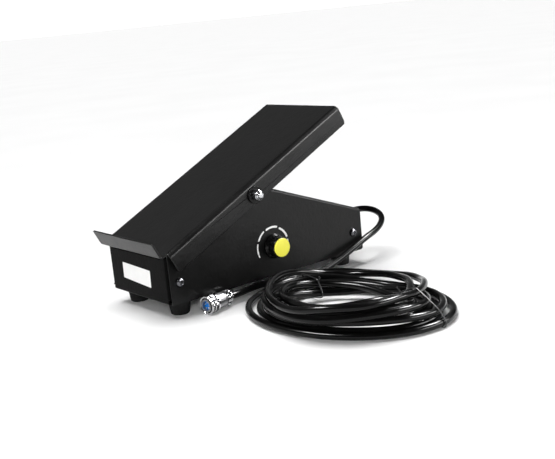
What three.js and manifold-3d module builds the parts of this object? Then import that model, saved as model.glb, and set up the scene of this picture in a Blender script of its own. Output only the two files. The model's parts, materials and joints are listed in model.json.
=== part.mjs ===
// Foot pedal that sets a welding current: folded steel base and treadle, toothed sector and pinion,
// current knob, and a signal cable in a tied coil that ends in a round five-pin connector.
// Millimetres, +X from the heel end to the cable end, +Z up. The near side, with the knob, is -Y.
import * as THREE from "three";
import { mergeVertices } from "three/addons/utils/BufferGeometryUtils.js";
import Module from "manifold-3d";

const wasm = await Module();
wasm.setup();

// ---------- Clearances ----------
const GAP = 0.3; // between pieces that touch
const HOLE_GAP = 0.35; // all round a pin or screw in its hole

// ---------- Base ----------
const BASE_LENGTH = 255;
const BASE_WIDTH = 114; // over the cover's side walls
const FRONT_HEIGHT = 47.4; // front plate, above the pan's underside
const REAR_HEIGHT = 46.4; // low end of the roof, above the pan's underside
const PAN_SHEET = 1.5;
const PAN_BEND = 2.5; // outer radius of the pan's bends
const PAN_TAB = 24; // reach of the side tabs of the front and rear plates
const PAN_RELIEF = 5; // height of the notch at each bottom corner
const PAN_FLANGE = 13; // reach of the front plate's top flange
const PAN_FLANGE_INSET = 7.2; // the flange's end from the pan's side
const COVER_SHEET = 1.5;
const COVER_BEND = 3; // outer radius between roof and side walls
const COVER_SETBACK = 2; // side wall's front edge, behind the front plate
const COVER_CORNER = 3; // radius of the side walls' bottom corners
const ROOF_SETBACK = 13; // roof's front edge, behind the pivot
const FOOT_HEIGHT = 15;
const FOOT_TOP_RADIUS = 11.4;
const FOOT_BOTTOM_RADIUS = 9.6;
const FOOT_INSET_X = 20; // foot centre from the pan's end
const FOOT_INSET_Y = 15.4; // foot centre from the pan's side
const FOOT_RECESS = 8; // depth of the recess for the screw
const SCREW_INSET_X = 13; // cover screws from the pan's end
const SCREW_HEIGHT = 21.5; // cover screws above the pan's underside
const SCREW_RADIUS = 2; // M4
const SCREW_HEAD_RADIUS = 4.3;
const SCREW_HEAD = 2.6;
const SCREW_LENGTH = 8;

// ---------- Treadle ----------
const PIVOT_X = 108.7;
const PIVOT_RISE = 90.5; // pivot above the pan's underside
const TREADLE_ANGLE = 26; // degrees at rest
const TREADLE_TRAVEL = 18; // degrees from rest to fully pressed
const TREADLE_ROOM = 4.5; // between the side walls and the flanges
const TREADLE_SHEET = 2;
const TREADLE_BEND = 5; // outer radius
const TREADLE_TOP = 13.5; // top face above the pivot, square to the treadle
const TOE_REACH = 140.5;
const HEEL_REACH = 117.4;
const FLANGE_DEPTH = 22.5;
const FLANGE_CORNER = 4;
const LIP_HEIGHT = 17.5;
const LIP_OVERHANG = 4.2; // lip's outer face beyond the heel's reach
const LIP_INSET = 4.5; // lip's end from the flange's outer face
const FLANGE_SETBACK = 3.5; // flanges' front edge, behind the heel's reach
const LIP_BEND = 3.5;
const LIP_CORNER = 1.5;
const APEX_RADIUS = 10.4; // cover's rounded top about the pivot

// ---------- Pivot hardware ----------
const AXLE_RADIUS = 3; // M6
const AXLE_STICKOUT = 1.2; // beyond each nut
const NUT_FLATS = 10;
const NUT_HEIGHT = 6;
const NUT_COLLAR = 1.8;
const NUT_COLLAR_RADIUS = 4.5;
const WASHER_RADIUS = 9;
const WASHER_THICKNESS = 1.6;
const BUSH_SLEEVE_RADIUS = 5.2;
const BUSH_SLEEVE = 5;
const BUSH_FLANGE_RADIUS = 8;

// ---------- Sector, pinion and main potentiometer ----------
const GEAR_MODULE = 1;
const SECTOR_TEETH_ROUND = 120; // of the whole circle it is cut from
const SECTOR_TEETH = 10;
const SECTOR_FIRST = -2; // first tooth, counted from the mesh point
const PINION_TEETH = 12;
const GEAR_BACKLASH = 0.45;
const GEAR_CENTRE_EXTRA = 0.25;
const MESH_DIRECTION = -120; // degrees from +X, from the pivot to the pinion
const SECTOR_THICKNESS = 3;
const SECTOR_Y = 4.5;
const SECTOR_INNER_RADIUS = 14;
const SECTOR_FLANGE_WIDTH = 12;
const SECTOR_FLANGE = [-58, -22]; // along the treadle's underside, from the pivot
const PINION_WIDTH = 6;
const POT_RADIUS = 12;
const POT_DEPTH = 12;
const POT_SHAFT_RADIUS = 3;
const POT_BUSHING_RADIUS = 4.5;
const POT_NUT_FLATS = 14;
const POT_NUT_HEIGHT = 2;
const POT_BRACKET_Y = 12;
const POT_BRACKET_SHEET = 2;
const POT_BRACKET_WIDTH = 30;
const POT_BRACKET_FOOT = 16;

// ---------- Return spring ----------
const SPRING_X = 36;
const SPRING_Y = -20;
const SPRING_LENGTH = 40; // between the two ears
const SPRING_RADIUS = 5; // to the wire's centre
const SPRING_WIRE = 1.2; // diameter
const SPRING_TURNS = 14;
const SPRING_TAIL = 3.2; // straight wire at each end, through its ear
const ANCHOR_HEIGHT = 9; // top of the lower ear above the pan's floor
const EAR_SHEET = 1.5;
const EAR_WIDTH = 14;

// ---------- Heel stops and micro switch ----------
const STOP_RADIUS = 4.5;
const STOP_X = 7.5;
const STOP_HALF_SPACING = 30;
const SWITCH_SIZE = [20, 6.4, 10.2];
const SWITCH_X = 15;
const SWITCH_Y = 8;
const SWITCH_BASE = 41.5; // bottom of the switch above the pan's floor
const SWITCH_PLATE = 1.5;
const SWITCH_PLATE_FOOT = 12;
const LEVER_REACH = 21;
const LEVER_SHEET = 0.8;
const LEVER_WIDTH = 4;
const LEVER_ROLLER = 2.4;
const LEVER_LIFT = 1.3; // lever's hinge above the switch

// ---------- Current knob ----------
const KNOB_X = 131;
const KNOB_RISE = 31.4; // above the pan's underside
const KNOB_SKIRT_RADIUS = 13;
const KNOB_SKIRT = 4.5;
const KNOB_BODY_RADIUS = 11.2;
const KNOB_HEIGHT = 12.4;
const KNOB_FLUTES = 20;
const KNOB_LIFT = 0.8; // gap between the wall and the skirt
const KNOB_CAP_RADIUS = 9.8;
const KNOB_CAP = 1.7;
const KNOB_POT_RADIUS = 8.2;
const KNOB_POT_DEPTH = 9;
const KNOB_NUT_FLATS = 12;

// ---------- Gland and terminal strip ----------
const GLAND_Y = -8;
const GLAND_RISE = 32.5; // above the pan's underside
const GLAND_RADIUS = 6; // through the rear plate
const GLAND_FLANGE_RADIUS = 8.5;
const GLAND_FLANGE = 3;
const GLAND_TAPER = 20;
const GLAND_INNER = 9;
const GLAND_NUT_FLATS = 16;
const GLAND_NUT_HEIGHT = 4;
const TERMINAL_SIZE = [12, 34, 11];
const TERMINAL_X = 212;
const TERMINAL_POLES = 5;

// ---------- Cable ----------
const CABLE_DIAMETER = 7;
const CABLE_SIDES = 10;
const CABLE_STEP = 17; // length of one step of a free stretch
// From the gland's mouth out, round and down to the floor behind the coil. x is from the front plate.
const ROUTE_FROM_GLAND = [
  [294.6, -9.8, 47.9],
  [302.2, -15.6, 47.6],
  [306.2, -24.4, 45.9],
  [305.8, -34.2, 42.6],
  [300.2, -43, 38.8],
  [290.4, -50.2, 35.2],
  [277, -56.2, 31.8],
  [257, -61, 28],
  [234, -64, 21.3],
  [210, -65.6, 13.8],
  [188, -66.5, 8.5],
  [168, -67, 5.6],
  [150, -67, 4.9],
];
// From the coil's top turn over its first turn and down to the connector.
const ROUTE_TO_PLUG = [
  [113, -71.4, 13.2],
  [103.5, -67.6, 13.4],
  [93.5, -64, 12],
  [83, -61.7, 10.1],
];

// ---------- Coil ----------
// Each layer is an oval spiral: middle x and y, half length, half width, degrees from +X to its length.
const COIL_LAYERS = [
  [124.5, -178, 111, 86, 98],
  [117, -185.5, 98, 77, 98],
  [108, -195, 84, 70, 98],
  [123, -170.5, 109, 81, 52],
];
const COIL_LAYER_TURNS = 2;
const COIL_TURN_PITCH = 12.5; // drop in the half sizes per turn
const COIL_FAN = [-3.6, -2.9]; // shift of the middle per turn, which packs one side and spreads the other
const COIL_CLIMB = 0.38; // turns on each side of a reversal that lead over to the next layer
const COIL_ROOM = 1.1; // between cable and the cable it lies on
const COIL_RISE = 100; // length of cable that climbs onto cable below
const COIL_EVEN = 30; // half the length that its height is evened out over
const COIL_START = 90; // degrees, where the bottom layer starts
const COIL_STEPS = 24; // per turn
const COIL_PARTS = 4; // parts of a step that its height is worked out for
const COIL_SIDES = 6;
const COIL_LEAD = 7; // straight length at each end
const TIE_THICKNESS = 0.8;
const TIE_WIDTH = 1.6;
const TIE_SLACK = 1.3;
const TIE_MIDDLE = [118, -180]; // where the ties' directions are drawn from
const TIES = { tie_right: [-80, 120], tie_left: [81, 90] }; // direction in degrees, farthest cable held

// ---------- Connector ----------
const PLUG_FRONT = [32.3, -69]; // middle of the mating face, x from the front plate
const PLUG_TURN = 10.5; // degrees from +X
const PLUG_RING_RADIUS = 9.25;
const PLUG_RING_BORE = 7.9;
const PLUG_RING_LENGTH = 13;
const PLUG_KNURLS = 28;
const PLUG_BANDS = [[0, 1.8], [4.2, 5.4], [9.6, 11]]; // plain bands round the ring, knurled between
const PLUG_BAND_STEP = 0.7; // height of the bands over the bottom of the knurls
const PLUG_SHELL_RADIUS = 6.7;
const PLUG_SHELL_WALL = 1.75;
const PLUG_SHELL_FRONT = -0.5; // shell's front edge from the ring's
const PLUG_BODY_RADIUS = 7.8;
const PLUG_BODY_END = 24;
const PLUG_NECK_RADIUS = 6.2;
const PLUG_LENGTH = 33;
const PLUG_INSERT = [2.6, 9]; // from the mating face
const PLUG_PINS = 5;
const PLUG_PIN_CIRCLE = 3;
const PLUG_PIN_RADIUS = 0.65;
const PLUG_PIN_TIP = 0.9;
const PLUG_PIN_TAIL = 8.4;
const PLUG_CLAMP = [26, 32.4];
const PLUG_CLAMP_SCREW_RADIUS = 1.3;
const PLUG_CLAMP_SCREW_SPACING = 5.6; // each side of the cable

// ---------- Worked out ----------
const deg = THREE.MathUtils.degToRad;
const PAN_BOTTOM = FOOT_HEIGHT;
const FLOOR_TOP = PAN_BOTTOM + PAN_SHEET;
const WALL_OUT = BASE_WIDTH / 2;
const WALL_IN = WALL_OUT - COVER_SHEET;
const PAN_HALF = WALL_IN - GAP;
const PAN_FLANGE_HALF = PAN_HALF - PAN_FLANGE_INSET;
const FOOT_HALF_SPACING = PAN_HALF - FOOT_INSET_Y;
const FRONT_TOP = PAN_BOTTOM + FRONT_HEIGHT;
const ROOF_END = PAN_BOTTOM + REAR_HEIGHT;
const PIVOT_Z = PAN_BOTTOM + PIVOT_RISE;
const SCREW_Z = PAN_BOTTOM + SCREW_HEIGHT;
const KNOB_Z = PAN_BOTTOM + KNOB_RISE;
const GLAND_Z = PAN_BOTTOM + GLAND_RISE;
const TREADLE_OUT = WALL_OUT + TREADLE_ROOM + TREADLE_SHEET;
const TREADLE_IN = TREADLE_OUT - TREADLE_SHEET;
const LIP_HALF = TREADLE_OUT - LIP_INSET;
const UNDERSIDE = TREADLE_TOP - TREADLE_SHEET; // above the pivot, square to the treadle
const CABLE_RADIUS = CABLE_DIAMETER / 2;
const treadleSin = Math.sin(deg(TREADLE_ANGLE));
const treadleCos = Math.cos(deg(TREADLE_ANGLE));

// The roof runs from the top of the rear plate, tangent to the rounded top about the pivot.
const roofRun = BASE_LENGTH - PIVOT_X;
const roofRise = PIVOT_Z - ROOF_END;
const ROOF_SLOPE =
  Math.atan2(roofRise, roofRun) + Math.asin(APEX_RADIUS / Math.hypot(roofRun, roofRise));
const roofHeight = (x) => ROOF_END + (BASE_LENGTH - x) * Math.tan(ROOF_SLOPE);
// Height of the treadle's underside at rest, above a point x along the base.
const undersideHeight = (x) => PIVOT_Z + ((x - PIVOT_X) * treadleSin + UNDERSIDE) / treadleCos;

// ---------- Solids ----------
// A closed geometry with shared corners, no flat triangles and its faces pointing out.
function closed(geometry) {
  const bare = geometry.clone();
  for (const name of Object.keys(bare.attributes)) if (name !== "position") bare.deleteAttribute(name);
  const merged = mergeVertices(bare, 1e-4);
  const position = merged.attributes.position;
  const index = [];
  const corner = [0, 1, 2].map(() => new THREE.Vector3());
  let volume = 0;
  for (let i = 0; i < merged.index.count; i += 3) {
    const ids = [0, 1, 2].map((k) => merged.index.getX(i + k));
    if (ids[0] === ids[1] || ids[1] === ids[2] || ids[2] === ids[0]) continue;
    ids.forEach((id, k) => corner[k].fromBufferAttribute(position, id));
    volume += corner[0].dot(corner[1].clone().cross(corner[2]));
    index.push(...ids);
  }
  if (volume < 0) index.reverse();
  merged.setIndex(index);
  return merged;
}

function solidOf(geometry) {
  const shape = closed(geometry);
  return new wasm.Manifold(
    new wasm.Mesh({
      numProp: 3,
      vertProperties: new Float32Array(shape.attributes.position.array),
      triVerts: new Uint32Array(shape.index.array),
    }),
  );
}

function geometryOf(solid) {
  const mesh = solid.getMesh();
  const geometry = new THREE.BufferGeometry();
  geometry.setAttribute("position", new THREE.BufferAttribute(mesh.vertProperties, 3));
  geometry.setIndex(new THREE.BufferAttribute(mesh.triVerts, 1));
  return geometry;
}

function join(...geometries) {
  return geometryOf(geometries.map(solidOf).reduce((all, next) => all.add(next)));
}

function cut(geometry, ...cutters) {
  return geometryOf(cutters.map(solidOf).reduce((left, next) => left.subtract(next), solidOf(geometry)));
}

function common(a, b) {
  return geometryOf(solidOf(a).intersect(solidOf(b)));
}

// A closed outline through corners [a, b, radius], each rounded by its radius.
function outline(corners, arcSteps = 4) {
  const shape = new THREE.Shape();
  corners.forEach(([a, b, radius = 0], i) => {
    const at = new THREE.Vector2(a, b);
    if (!radius) {
      if (i) shape.lineTo(a, b);
      else shape.moveTo(a, b);
      return;
    }
    const before = corners[(i + corners.length - 1) % corners.length];
    const after = corners[(i + 1) % corners.length];
    const back = new THREE.Vector2(before[0], before[1]).sub(at).normalize();
    const ahead = new THREE.Vector2(after[0], after[1]).sub(at).normalize();
    const half = Math.acos(THREE.MathUtils.clamp(back.dot(ahead), -1, 1)) / 2;
    const middle = back.clone().add(ahead).normalize();
    const centre = at.clone().addScaledVector(middle, radius / Math.sin(half));
    const from = at.clone().addScaledVector(back, radius / Math.tan(half)).sub(centre);
    const to = at.clone().addScaledVector(ahead, radius / Math.tan(half)).sub(centre);
    const turn = Math.atan2(from.cross(to), from.dot(to));
    for (let k = 0; k <= arcSteps; k += 1) {
      const angle = from.angle() + (turn * k) / arcSteps;
      const x = centre.x + radius * Math.cos(angle);
      const y = centre.y + radius * Math.sin(angle);
      if (i || k) shape.lineTo(x, y);
      else shape.moveTo(x, y);
    }
  });
  return shape;
}

function extrude(shape, depth) {
  return new THREE.ExtrudeGeometry(shape, { depth, bevelEnabled: false, curveSegments: 12 });
}

// An outline of (x, y), raised from z = low to z = high.
const raised = (shape, low, high) => extrude(shape, high - low).translate(0, 0, low);
// An outline of (x, z), drawn out from y = low to y = high.
const across = (shape, low, high) => extrude(shape, high - low).rotateX(Math.PI / 2).translate(0, high, 0);
// An outline of (y, z), drawn out from x = low to x = high.
const TO_X = new THREE.Matrix4().makeBasis(
  new THREE.Vector3(0, 1, 0),
  new THREE.Vector3(0, 0, 1),
  new THREE.Vector3(1, 0, 0),
);
const along = (shape, low, high) => extrude(shape, high - low).applyMatrix4(TO_X).translate(low, 0, 0);

function block([x0, y0, z0], [x1, y1, z1]) {
  const box = new THREE.BoxGeometry(x1 - x0, y1 - y0, z1 - z0);
  return box.translate((x0 + x1) / 2, (y0 + y1) / 2, (z0 + z1) / 2);
}

// A turned piece: profile of [radius, distance along the axis], which points along x, y or z.
function turned(profile, axis, segments = 24) {
  const points = profile.map(([radius, at]) => new THREE.Vector2(radius, at));
  const lathe = new THREE.LatheGeometry(points, segments);
  if (axis === "x") lathe.rotateZ(-Math.PI / 2);
  if (axis === "z") lathe.rotateX(Math.PI / 2);
  return lathe;
}

const rod = (radius, low, high, axis, segments = 24) =>
  turned([[0, low], [radius, low], [radius, high], [0, high]], axis, segments);
const ring = (outer, inner, low, high, axis, segments = 24) =>
  turned([[inner, low], [outer, low], [outer, high], [inner, high], [inner, low]], axis, segments);

function polygon(sides, radius, turn = 0) {
  const corners = [];
  for (let i = 0; i < sides; i += 1) {
    const angle = turn + (2 * Math.PI * i) / sides;
    corners.push([radius * Math.cos(angle), radius * Math.sin(angle)]);
  }
  return outline(corners);
}

// A strip of sheet of even thickness, folded along a line of points (a, b) on its left face.
function strip(points, thickness) {
  const offset = points.map(([a, b], i) => {
    const at = new THREE.Vector2(a, b);
    const before = i ? new THREE.Vector2(...points[i - 1]) : null;
    const after = i < points.length - 1 ? new THREE.Vector2(...points[i + 1]) : null;
    const normals = [];
    if (before) normals.push(at.clone().sub(before).normalize());
    if (after) normals.push(after.clone().sub(at).normalize());
    const sides = normals.map((n) => new THREE.Vector2(n.y, -n.x));
    const mean = sides.reduce((sum, n) => sum.add(n), new THREE.Vector2()).normalize();
    return at.addScaledVector(mean, thickness / mean.dot(sides[0].clone().normalize())).toArray();
  });
  return outline([...points, ...offset.reverse()]);
}

const group = new THREE.Group();
const placed = new THREE.Group();
group.add(placed);

function add(name, geometry, material, parent = placed) {
  const mesh = new THREE.Mesh(closed(geometry), material);
  mesh.name = name;
  parent.add(mesh);
  return mesh;
}

const finish = (color, roughness, metalness) =>
  new THREE.MeshStandardMaterial({ color, roughness, metalness });
const BLACK_PAINT = finish(0x202124, 0.45, 0.2);
const RUBBER = finish(0x121212, 0.85, 0);
const ZINC = finish(0xc8cacc, 0.3, 1);
const CHROME = finish(0xd9dbde, 0.12, 1);
const NYLON = finish(0xe8e4da, 0.5, 0);
const BLACK_PLASTIC = finish(0x151515, 0.4, 0);
const YELLOW = finish(0xf2e21a, 0.35, 0);
const BLUE = finish(0x1f86d8, 0.4, 0);
const CABLE = finish(0x0d0d0e, 0.22, 0);
const BRASS = finish(0xc9a34a, 0.35, 1);
const SPRING_STEEL = finish(0x8f9398, 0.35, 1);

// ---------- Base pan ----------
// One end of the pan: a plate with a tab folded back at each side. x runs inwards from the plate's face.
function endPlate(low, high) {
  const inner = PAN_HALF - PAN_SHEET;
  const bend = PAN_BEND - PAN_SHEET;
  const shape = outline([
    [PAN_TAB, -PAN_HALF],
    [0, -PAN_HALF, PAN_BEND],
    [0, PAN_HALF, PAN_BEND],
    [PAN_TAB, PAN_HALF],
    [PAN_TAB, inner],
    [PAN_SHEET, inner, bend],
    [PAN_SHEET, -inner, bend],
    [PAN_TAB, -inner],
  ]);
  return raised(shape, low, high);
}

const flip = (geometry) => geometry.rotateZ(Math.PI).translate(BASE_LENGTH, 0, 0);
const corners = (sideX, sideY) => sideX.flatMap((x) => sideY.map((y) => [x, y]));
const FEET = corners([FOOT_INSET_X, BASE_LENGTH - FOOT_INSET_X], [-FOOT_HALF_SPACING, FOOT_HALF_SPACING]);
const COVER_SCREWS = corners([SCREW_INSET_X, BASE_LENGTH - SCREW_INSET_X], [-1, 1]);

function basePan() {
  const rearTop = roofHeight(BASE_LENGTH) - COVER_SHEET / Math.cos(ROOF_SLOPE) - GAP;
  const lowWall = PAN_BOTTOM + PAN_RELIEF + 1;
  const bend = PAN_BEND - PAN_SHEET;
  const floor = outline([
    [0, lowWall],
    [0, PAN_BOTTOM, PAN_BEND],
    [BASE_LENGTH, PAN_BOTTOM, PAN_BEND],
    [BASE_LENGTH, lowWall],
    [BASE_LENGTH - PAN_SHEET, lowWall],
    [BASE_LENGTH - PAN_SHEET, FLOOR_TOP, bend],
    [PAN_SHEET, FLOOR_TOP, bend],
    [PAN_SHEET, lowWall],
  ]);
  const flange = outline([
    [PAN_FLANGE, FRONT_TOP],
    [0, FRONT_TOP, PAN_BEND],
    [0, FRONT_TOP - 2 * PAN_BEND],
    [PAN_SHEET, FRONT_TOP - 2 * PAN_BEND],
    [PAN_SHEET, FRONT_TOP - PAN_SHEET, bend],
    [PAN_FLANGE, FRONT_TOP - PAN_SHEET],
  ]);
  const front = cut(
    endPlate(PAN_BOTTOM + PAN_RELIEF, FRONT_TOP),
    block([-1, -PAN_FLANGE_HALF, FRONT_TOP - PAN_BEND], [PAN_SHEET + 1, PAN_FLANGE_HALF, FRONT_TOP + 1]),
  );
  const rear = flip(endPlate(PAN_BOTTOM + PAN_RELIEF, rearTop));
  const body = join(
    across(floor, -PAN_HALF, PAN_HALF),
    front,
    rear,
    across(flange, -PAN_FLANGE_HALF, PAN_FLANGE_HALF),
  );
  const notchFrom = PAN_HALF - PAN_BEND;
  const notches = corners([0, BASE_LENGTH], [-1, 1]).map(([x, side]) =>
    block(
      [x - 2 * PAN_BEND, side > 0 ? notchFrom : -PAN_HALF - 1, PAN_BOTTOM - 1],
      [x + 2 * PAN_BEND, side > 0 ? PAN_HALF + 1 : -notchFrom, PAN_BOTTOM + PAN_RELIEF],
    ),
  );
  const footHoles = FEET.map(([x, y]) =>
    rod(SCREW_RADIUS + HOLE_GAP, PAN_BOTTOM - 1, FLOOR_TOP + 1, "z", 16).translate(x, y, 0),
  );
  const screwHoles = [SCREW_INSET_X, BASE_LENGTH - SCREW_INSET_X].map((x) =>
    rod(SCREW_RADIUS + HOLE_GAP, -PAN_HALF - 1, PAN_HALF + 1, "y", 16).translate(x, 0, SCREW_Z),
  );
  const glandHole = rod(GLAND_RADIUS + HOLE_GAP, BASE_LENGTH - 3, BASE_LENGTH + 1, "x");
  glandHole.translate(0, GLAND_Y, GLAND_Z);
  return cut(body, ...notches, ...footHoles, ...screwHoles, glandHole);
}
add("base_pan", basePan(), BLACK_PAINT);

// ---------- Side cover ----------
function coverOutline() {
  const roofNormal = Math.PI / 2 - ROOF_SLOPE;
  const slopeNormal = Math.PI / 2 + deg(TREADLE_ANGLE);
  const top = [];
  const steps = 8;
  for (let k = 0; k <= steps; k += 1) {
    const angle = roofNormal + ((slopeNormal - roofNormal) * k) / steps;
    top.push([PIVOT_X + APEX_RADIUS * Math.cos(angle), PIVOT_Z + APEX_RADIUS * Math.sin(angle)]);
  }
  const frontTop =
    PIVOT_Z + (APEX_RADIUS - (PIVOT_X - COVER_SETBACK) * treadleSin) / treadleCos;
  return outline([
    [COVER_SETBACK, PAN_BOTTOM],
    [BASE_LENGTH, PAN_BOTTOM, COVER_CORNER],
    [BASE_LENGTH, ROOF_END],
    ...top,
    [COVER_SETBACK, frontTop],
  ]);
}

// A bar with rounded top edges under the roof's plane, wide enough to hold the whole side view.
function underRoof(halfWidth, radius, below) {
  const reach = BASE_LENGTH * 1.5;
  const shape = outline([
    [-halfWidth, -reach],
    [halfWidth, -reach],
    [halfWidth, -below, radius],
    [-halfWidth, -below, radius],
  ]);
  return along(shape, -reach, reach).rotateY(ROOF_SLOPE).translate(BASE_LENGTH, 0, ROOF_END);
}

function sideCover() {
  const reach = BASE_LENGTH;
  const body = common(across(coverOutline(), -WALL_OUT, WALL_OUT), underRoof(WALL_OUT, COVER_BEND, 0));
  const inside = common(
    block([-reach, -WALL_IN, -reach], [2 * reach, WALL_IN, reach]),
    underRoof(WALL_IN, COVER_BEND - COVER_SHEET, COVER_SHEET),
  );
  const opening = block([-reach, -WALL_IN, 0], [PIVOT_X + ROOF_SETBACK, WALL_IN, reach]);
  const pivotHole = rod(BUSH_SLEEVE_RADIUS + HOLE_GAP, -WALL_OUT - 1, WALL_OUT + 1, "y");
  const holes = [pivotHole.translate(PIVOT_X, 0, PIVOT_Z)];
  for (const x of [SCREW_INSET_X, BASE_LENGTH - SCREW_INSET_X])
    holes.push(rod(SCREW_RADIUS + HOLE_GAP, -WALL_OUT - 1, WALL_OUT + 1, "y", 16).translate(x, 0, SCREW_Z));
  const knobHole = rod(POT_BUSHING_RADIUS + HOLE_GAP, -WALL_OUT - 1, -WALL_IN + 1, "y");
  holes.push(knobHole.translate(KNOB_X, 0, KNOB_Z));
  return cut(body, inside, opening, ...holes);
}
add("side_cover", sideCover(), BLACK_PAINT);

// ---------- Screws and feet ----------
// A pan-head screw along +z: the head's seat at z = 0, the shank below it.
function panScrew(radius, headRadius, head, length) {
  return turned(
    [
      [0, -length],
      [radius * 0.7, -length],
      [radius, -length + radius * 0.4],
      [radius, 0],
      [headRadius, 0],
      [headRadius, head * 0.45],
      [headRadius * 0.8, head * 0.85],
      [headRadius * 0.45, head],
      [0, head],
    ],
    "z",
    12,
  );
}

const sideName = (y) => (y < 0 ? "near" : "far");
const endName = (x) => (x < BASE_LENGTH / 2 ? "front" : "rear");
const screwShape = panScrew(SCREW_RADIUS, SCREW_HEAD_RADIUS, SCREW_HEAD, SCREW_LENGTH);
for (const [x, side] of COVER_SCREWS) {
  const screw = add(`cover_screw_${endName(x)}_${sideName(side)}`, screwShape, ZINC);
  screw.position.set(x, side * (WALL_OUT + GAP), SCREW_Z);
  screw.rotation.x = (side * -Math.PI) / 2;
}

const footShape = turned(
  [
    [SCREW_RADIUS + HOLE_GAP, FOOT_RECESS],
    [SCREW_HEAD_RADIUS + 1, FOOT_RECESS],
    [SCREW_HEAD_RADIUS + 1, 0],
    [FOOT_BOTTOM_RADIUS - 1, 0],
    [FOOT_BOTTOM_RADIUS, 1],
    [FOOT_TOP_RADIUS, FOOT_HEIGHT - GAP],
    [SCREW_RADIUS + HOLE_GAP, FOOT_HEIGHT - GAP],
    [SCREW_RADIUS + HOLE_GAP, FOOT_RECESS],
  ],
  "z",
  20,
);
const footScrewLength = FOOT_HEIGHT - FOOT_RECESS + PAN_SHEET + 3;
const footScrewShape = panScrew(SCREW_RADIUS, SCREW_HEAD_RADIUS, SCREW_HEAD, footScrewLength);
for (const [x, y] of FEET) {
  add(`foot_${endName(x)}_${sideName(y)}`, footShape, RUBBER).position.set(x, y, 0);
  const screw = add(`foot_screw_${endName(x)}_${sideName(y)}`, footScrewShape, ZINC);
  screw.position.set(x, y, FOOT_RECESS - GAP);
  screw.rotation.x = Math.PI;
}

// ---------- Pivot ----------
function hexNut(flats, height, bore, collarRadius = 0, collar = 0) {
  const prism = raised(polygon(6, flats / Math.sqrt(3), Math.PI / 6), 0, height);
  const chamfer = turned(
    [
      [0, -1],
      [flats * 0.55, -1],
      [flats * 0.55, height - flats * 0.06],
      [flats * 0.47, height],
      [0, height],
    ],
    "z",
    18,
  );
  const hex = common(prism, chamfer);
  const crown = [
    [0, height - 0.5],
    [collarRadius, height - 0.5],
    [collarRadius, height + collar * 0.55],
    [collarRadius - collar * 0.45, height + collar],
    [0, height + collar],
  ];
  const body = collar ? join(hex, turned(crown, "z", 18)) : hex;
  return cut(body, rod(bore, -1, height + collar + 1, "z", 18));
}

const washerAt = TREADLE_OUT + GAP;
const nutAt = washerAt + WASHER_THICKNESS + GAP;
const axleHalf = nutAt + NUT_HEIGHT + NUT_COLLAR + AXLE_STICKOUT;
const axle = turned(
  [
    [0, -axleHalf],
    [AXLE_RADIUS - 0.8, -axleHalf],
    [AXLE_RADIUS, 0.8 - axleHalf],
    [AXLE_RADIUS, axleHalf - 0.8],
    [AXLE_RADIUS - 0.8, axleHalf],
    [0, axleHalf],
  ],
  "y",
);
add("pivot_axle", axle, ZINC).position.set(PIVOT_X, 0, PIVOT_Z);

const nutShape = hexNut(NUT_FLATS, NUT_HEIGHT, AXLE_RADIUS + HOLE_GAP, NUT_COLLAR_RADIUS, NUT_COLLAR);
const washerShape = ring(WASHER_RADIUS, AXLE_RADIUS + HOLE_GAP, 0, WASHER_THICKNESS, "z");
const bushFlange = TREADLE_IN - WALL_OUT - 2 * GAP;
const bushShape = turned(
  [
    [AXLE_RADIUS + HOLE_GAP, -BUSH_SLEEVE],
    [BUSH_SLEEVE_RADIUS, -BUSH_SLEEVE],
    [BUSH_SLEEVE_RADIUS, 0],
    [BUSH_FLANGE_RADIUS, 0],
    [BUSH_FLANGE_RADIUS, bushFlange],
    [AXLE_RADIUS + HOLE_GAP, bushFlange],
    [AXLE_RADIUS + HOLE_GAP, -BUSH_SLEEVE],
  ],
  "z",
  20,
);
for (const side of [-1, 1]) {
  const pieces = [
    ["pivot_bush", bushShape, NYLON, WALL_OUT + GAP],
    ["pivot_washer", washerShape, ZINC, washerAt],
    ["pivot_nut", nutShape, ZINC, nutAt],
  ];
  for (const [name, shape, material, at] of pieces) {
    const mesh = add(`${name}_${sideName(side)}`, shape, material);
    mesh.position.set(PIVOT_X, side * at, PIVOT_Z);
    mesh.rotation.x = (side * -Math.PI) / 2;
  }
}

// ---------- Treadle ----------
// Drawn about the pivot with x along the treadle to the toe, then turned up to its rest angle.
const treadleGroup = new THREE.Group();
treadleGroup.position.set(PIVOT_X, 0, PIVOT_Z);
treadleGroup.rotation.y = -deg(TREADLE_ANGLE);
placed.add(treadleGroup);

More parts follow.
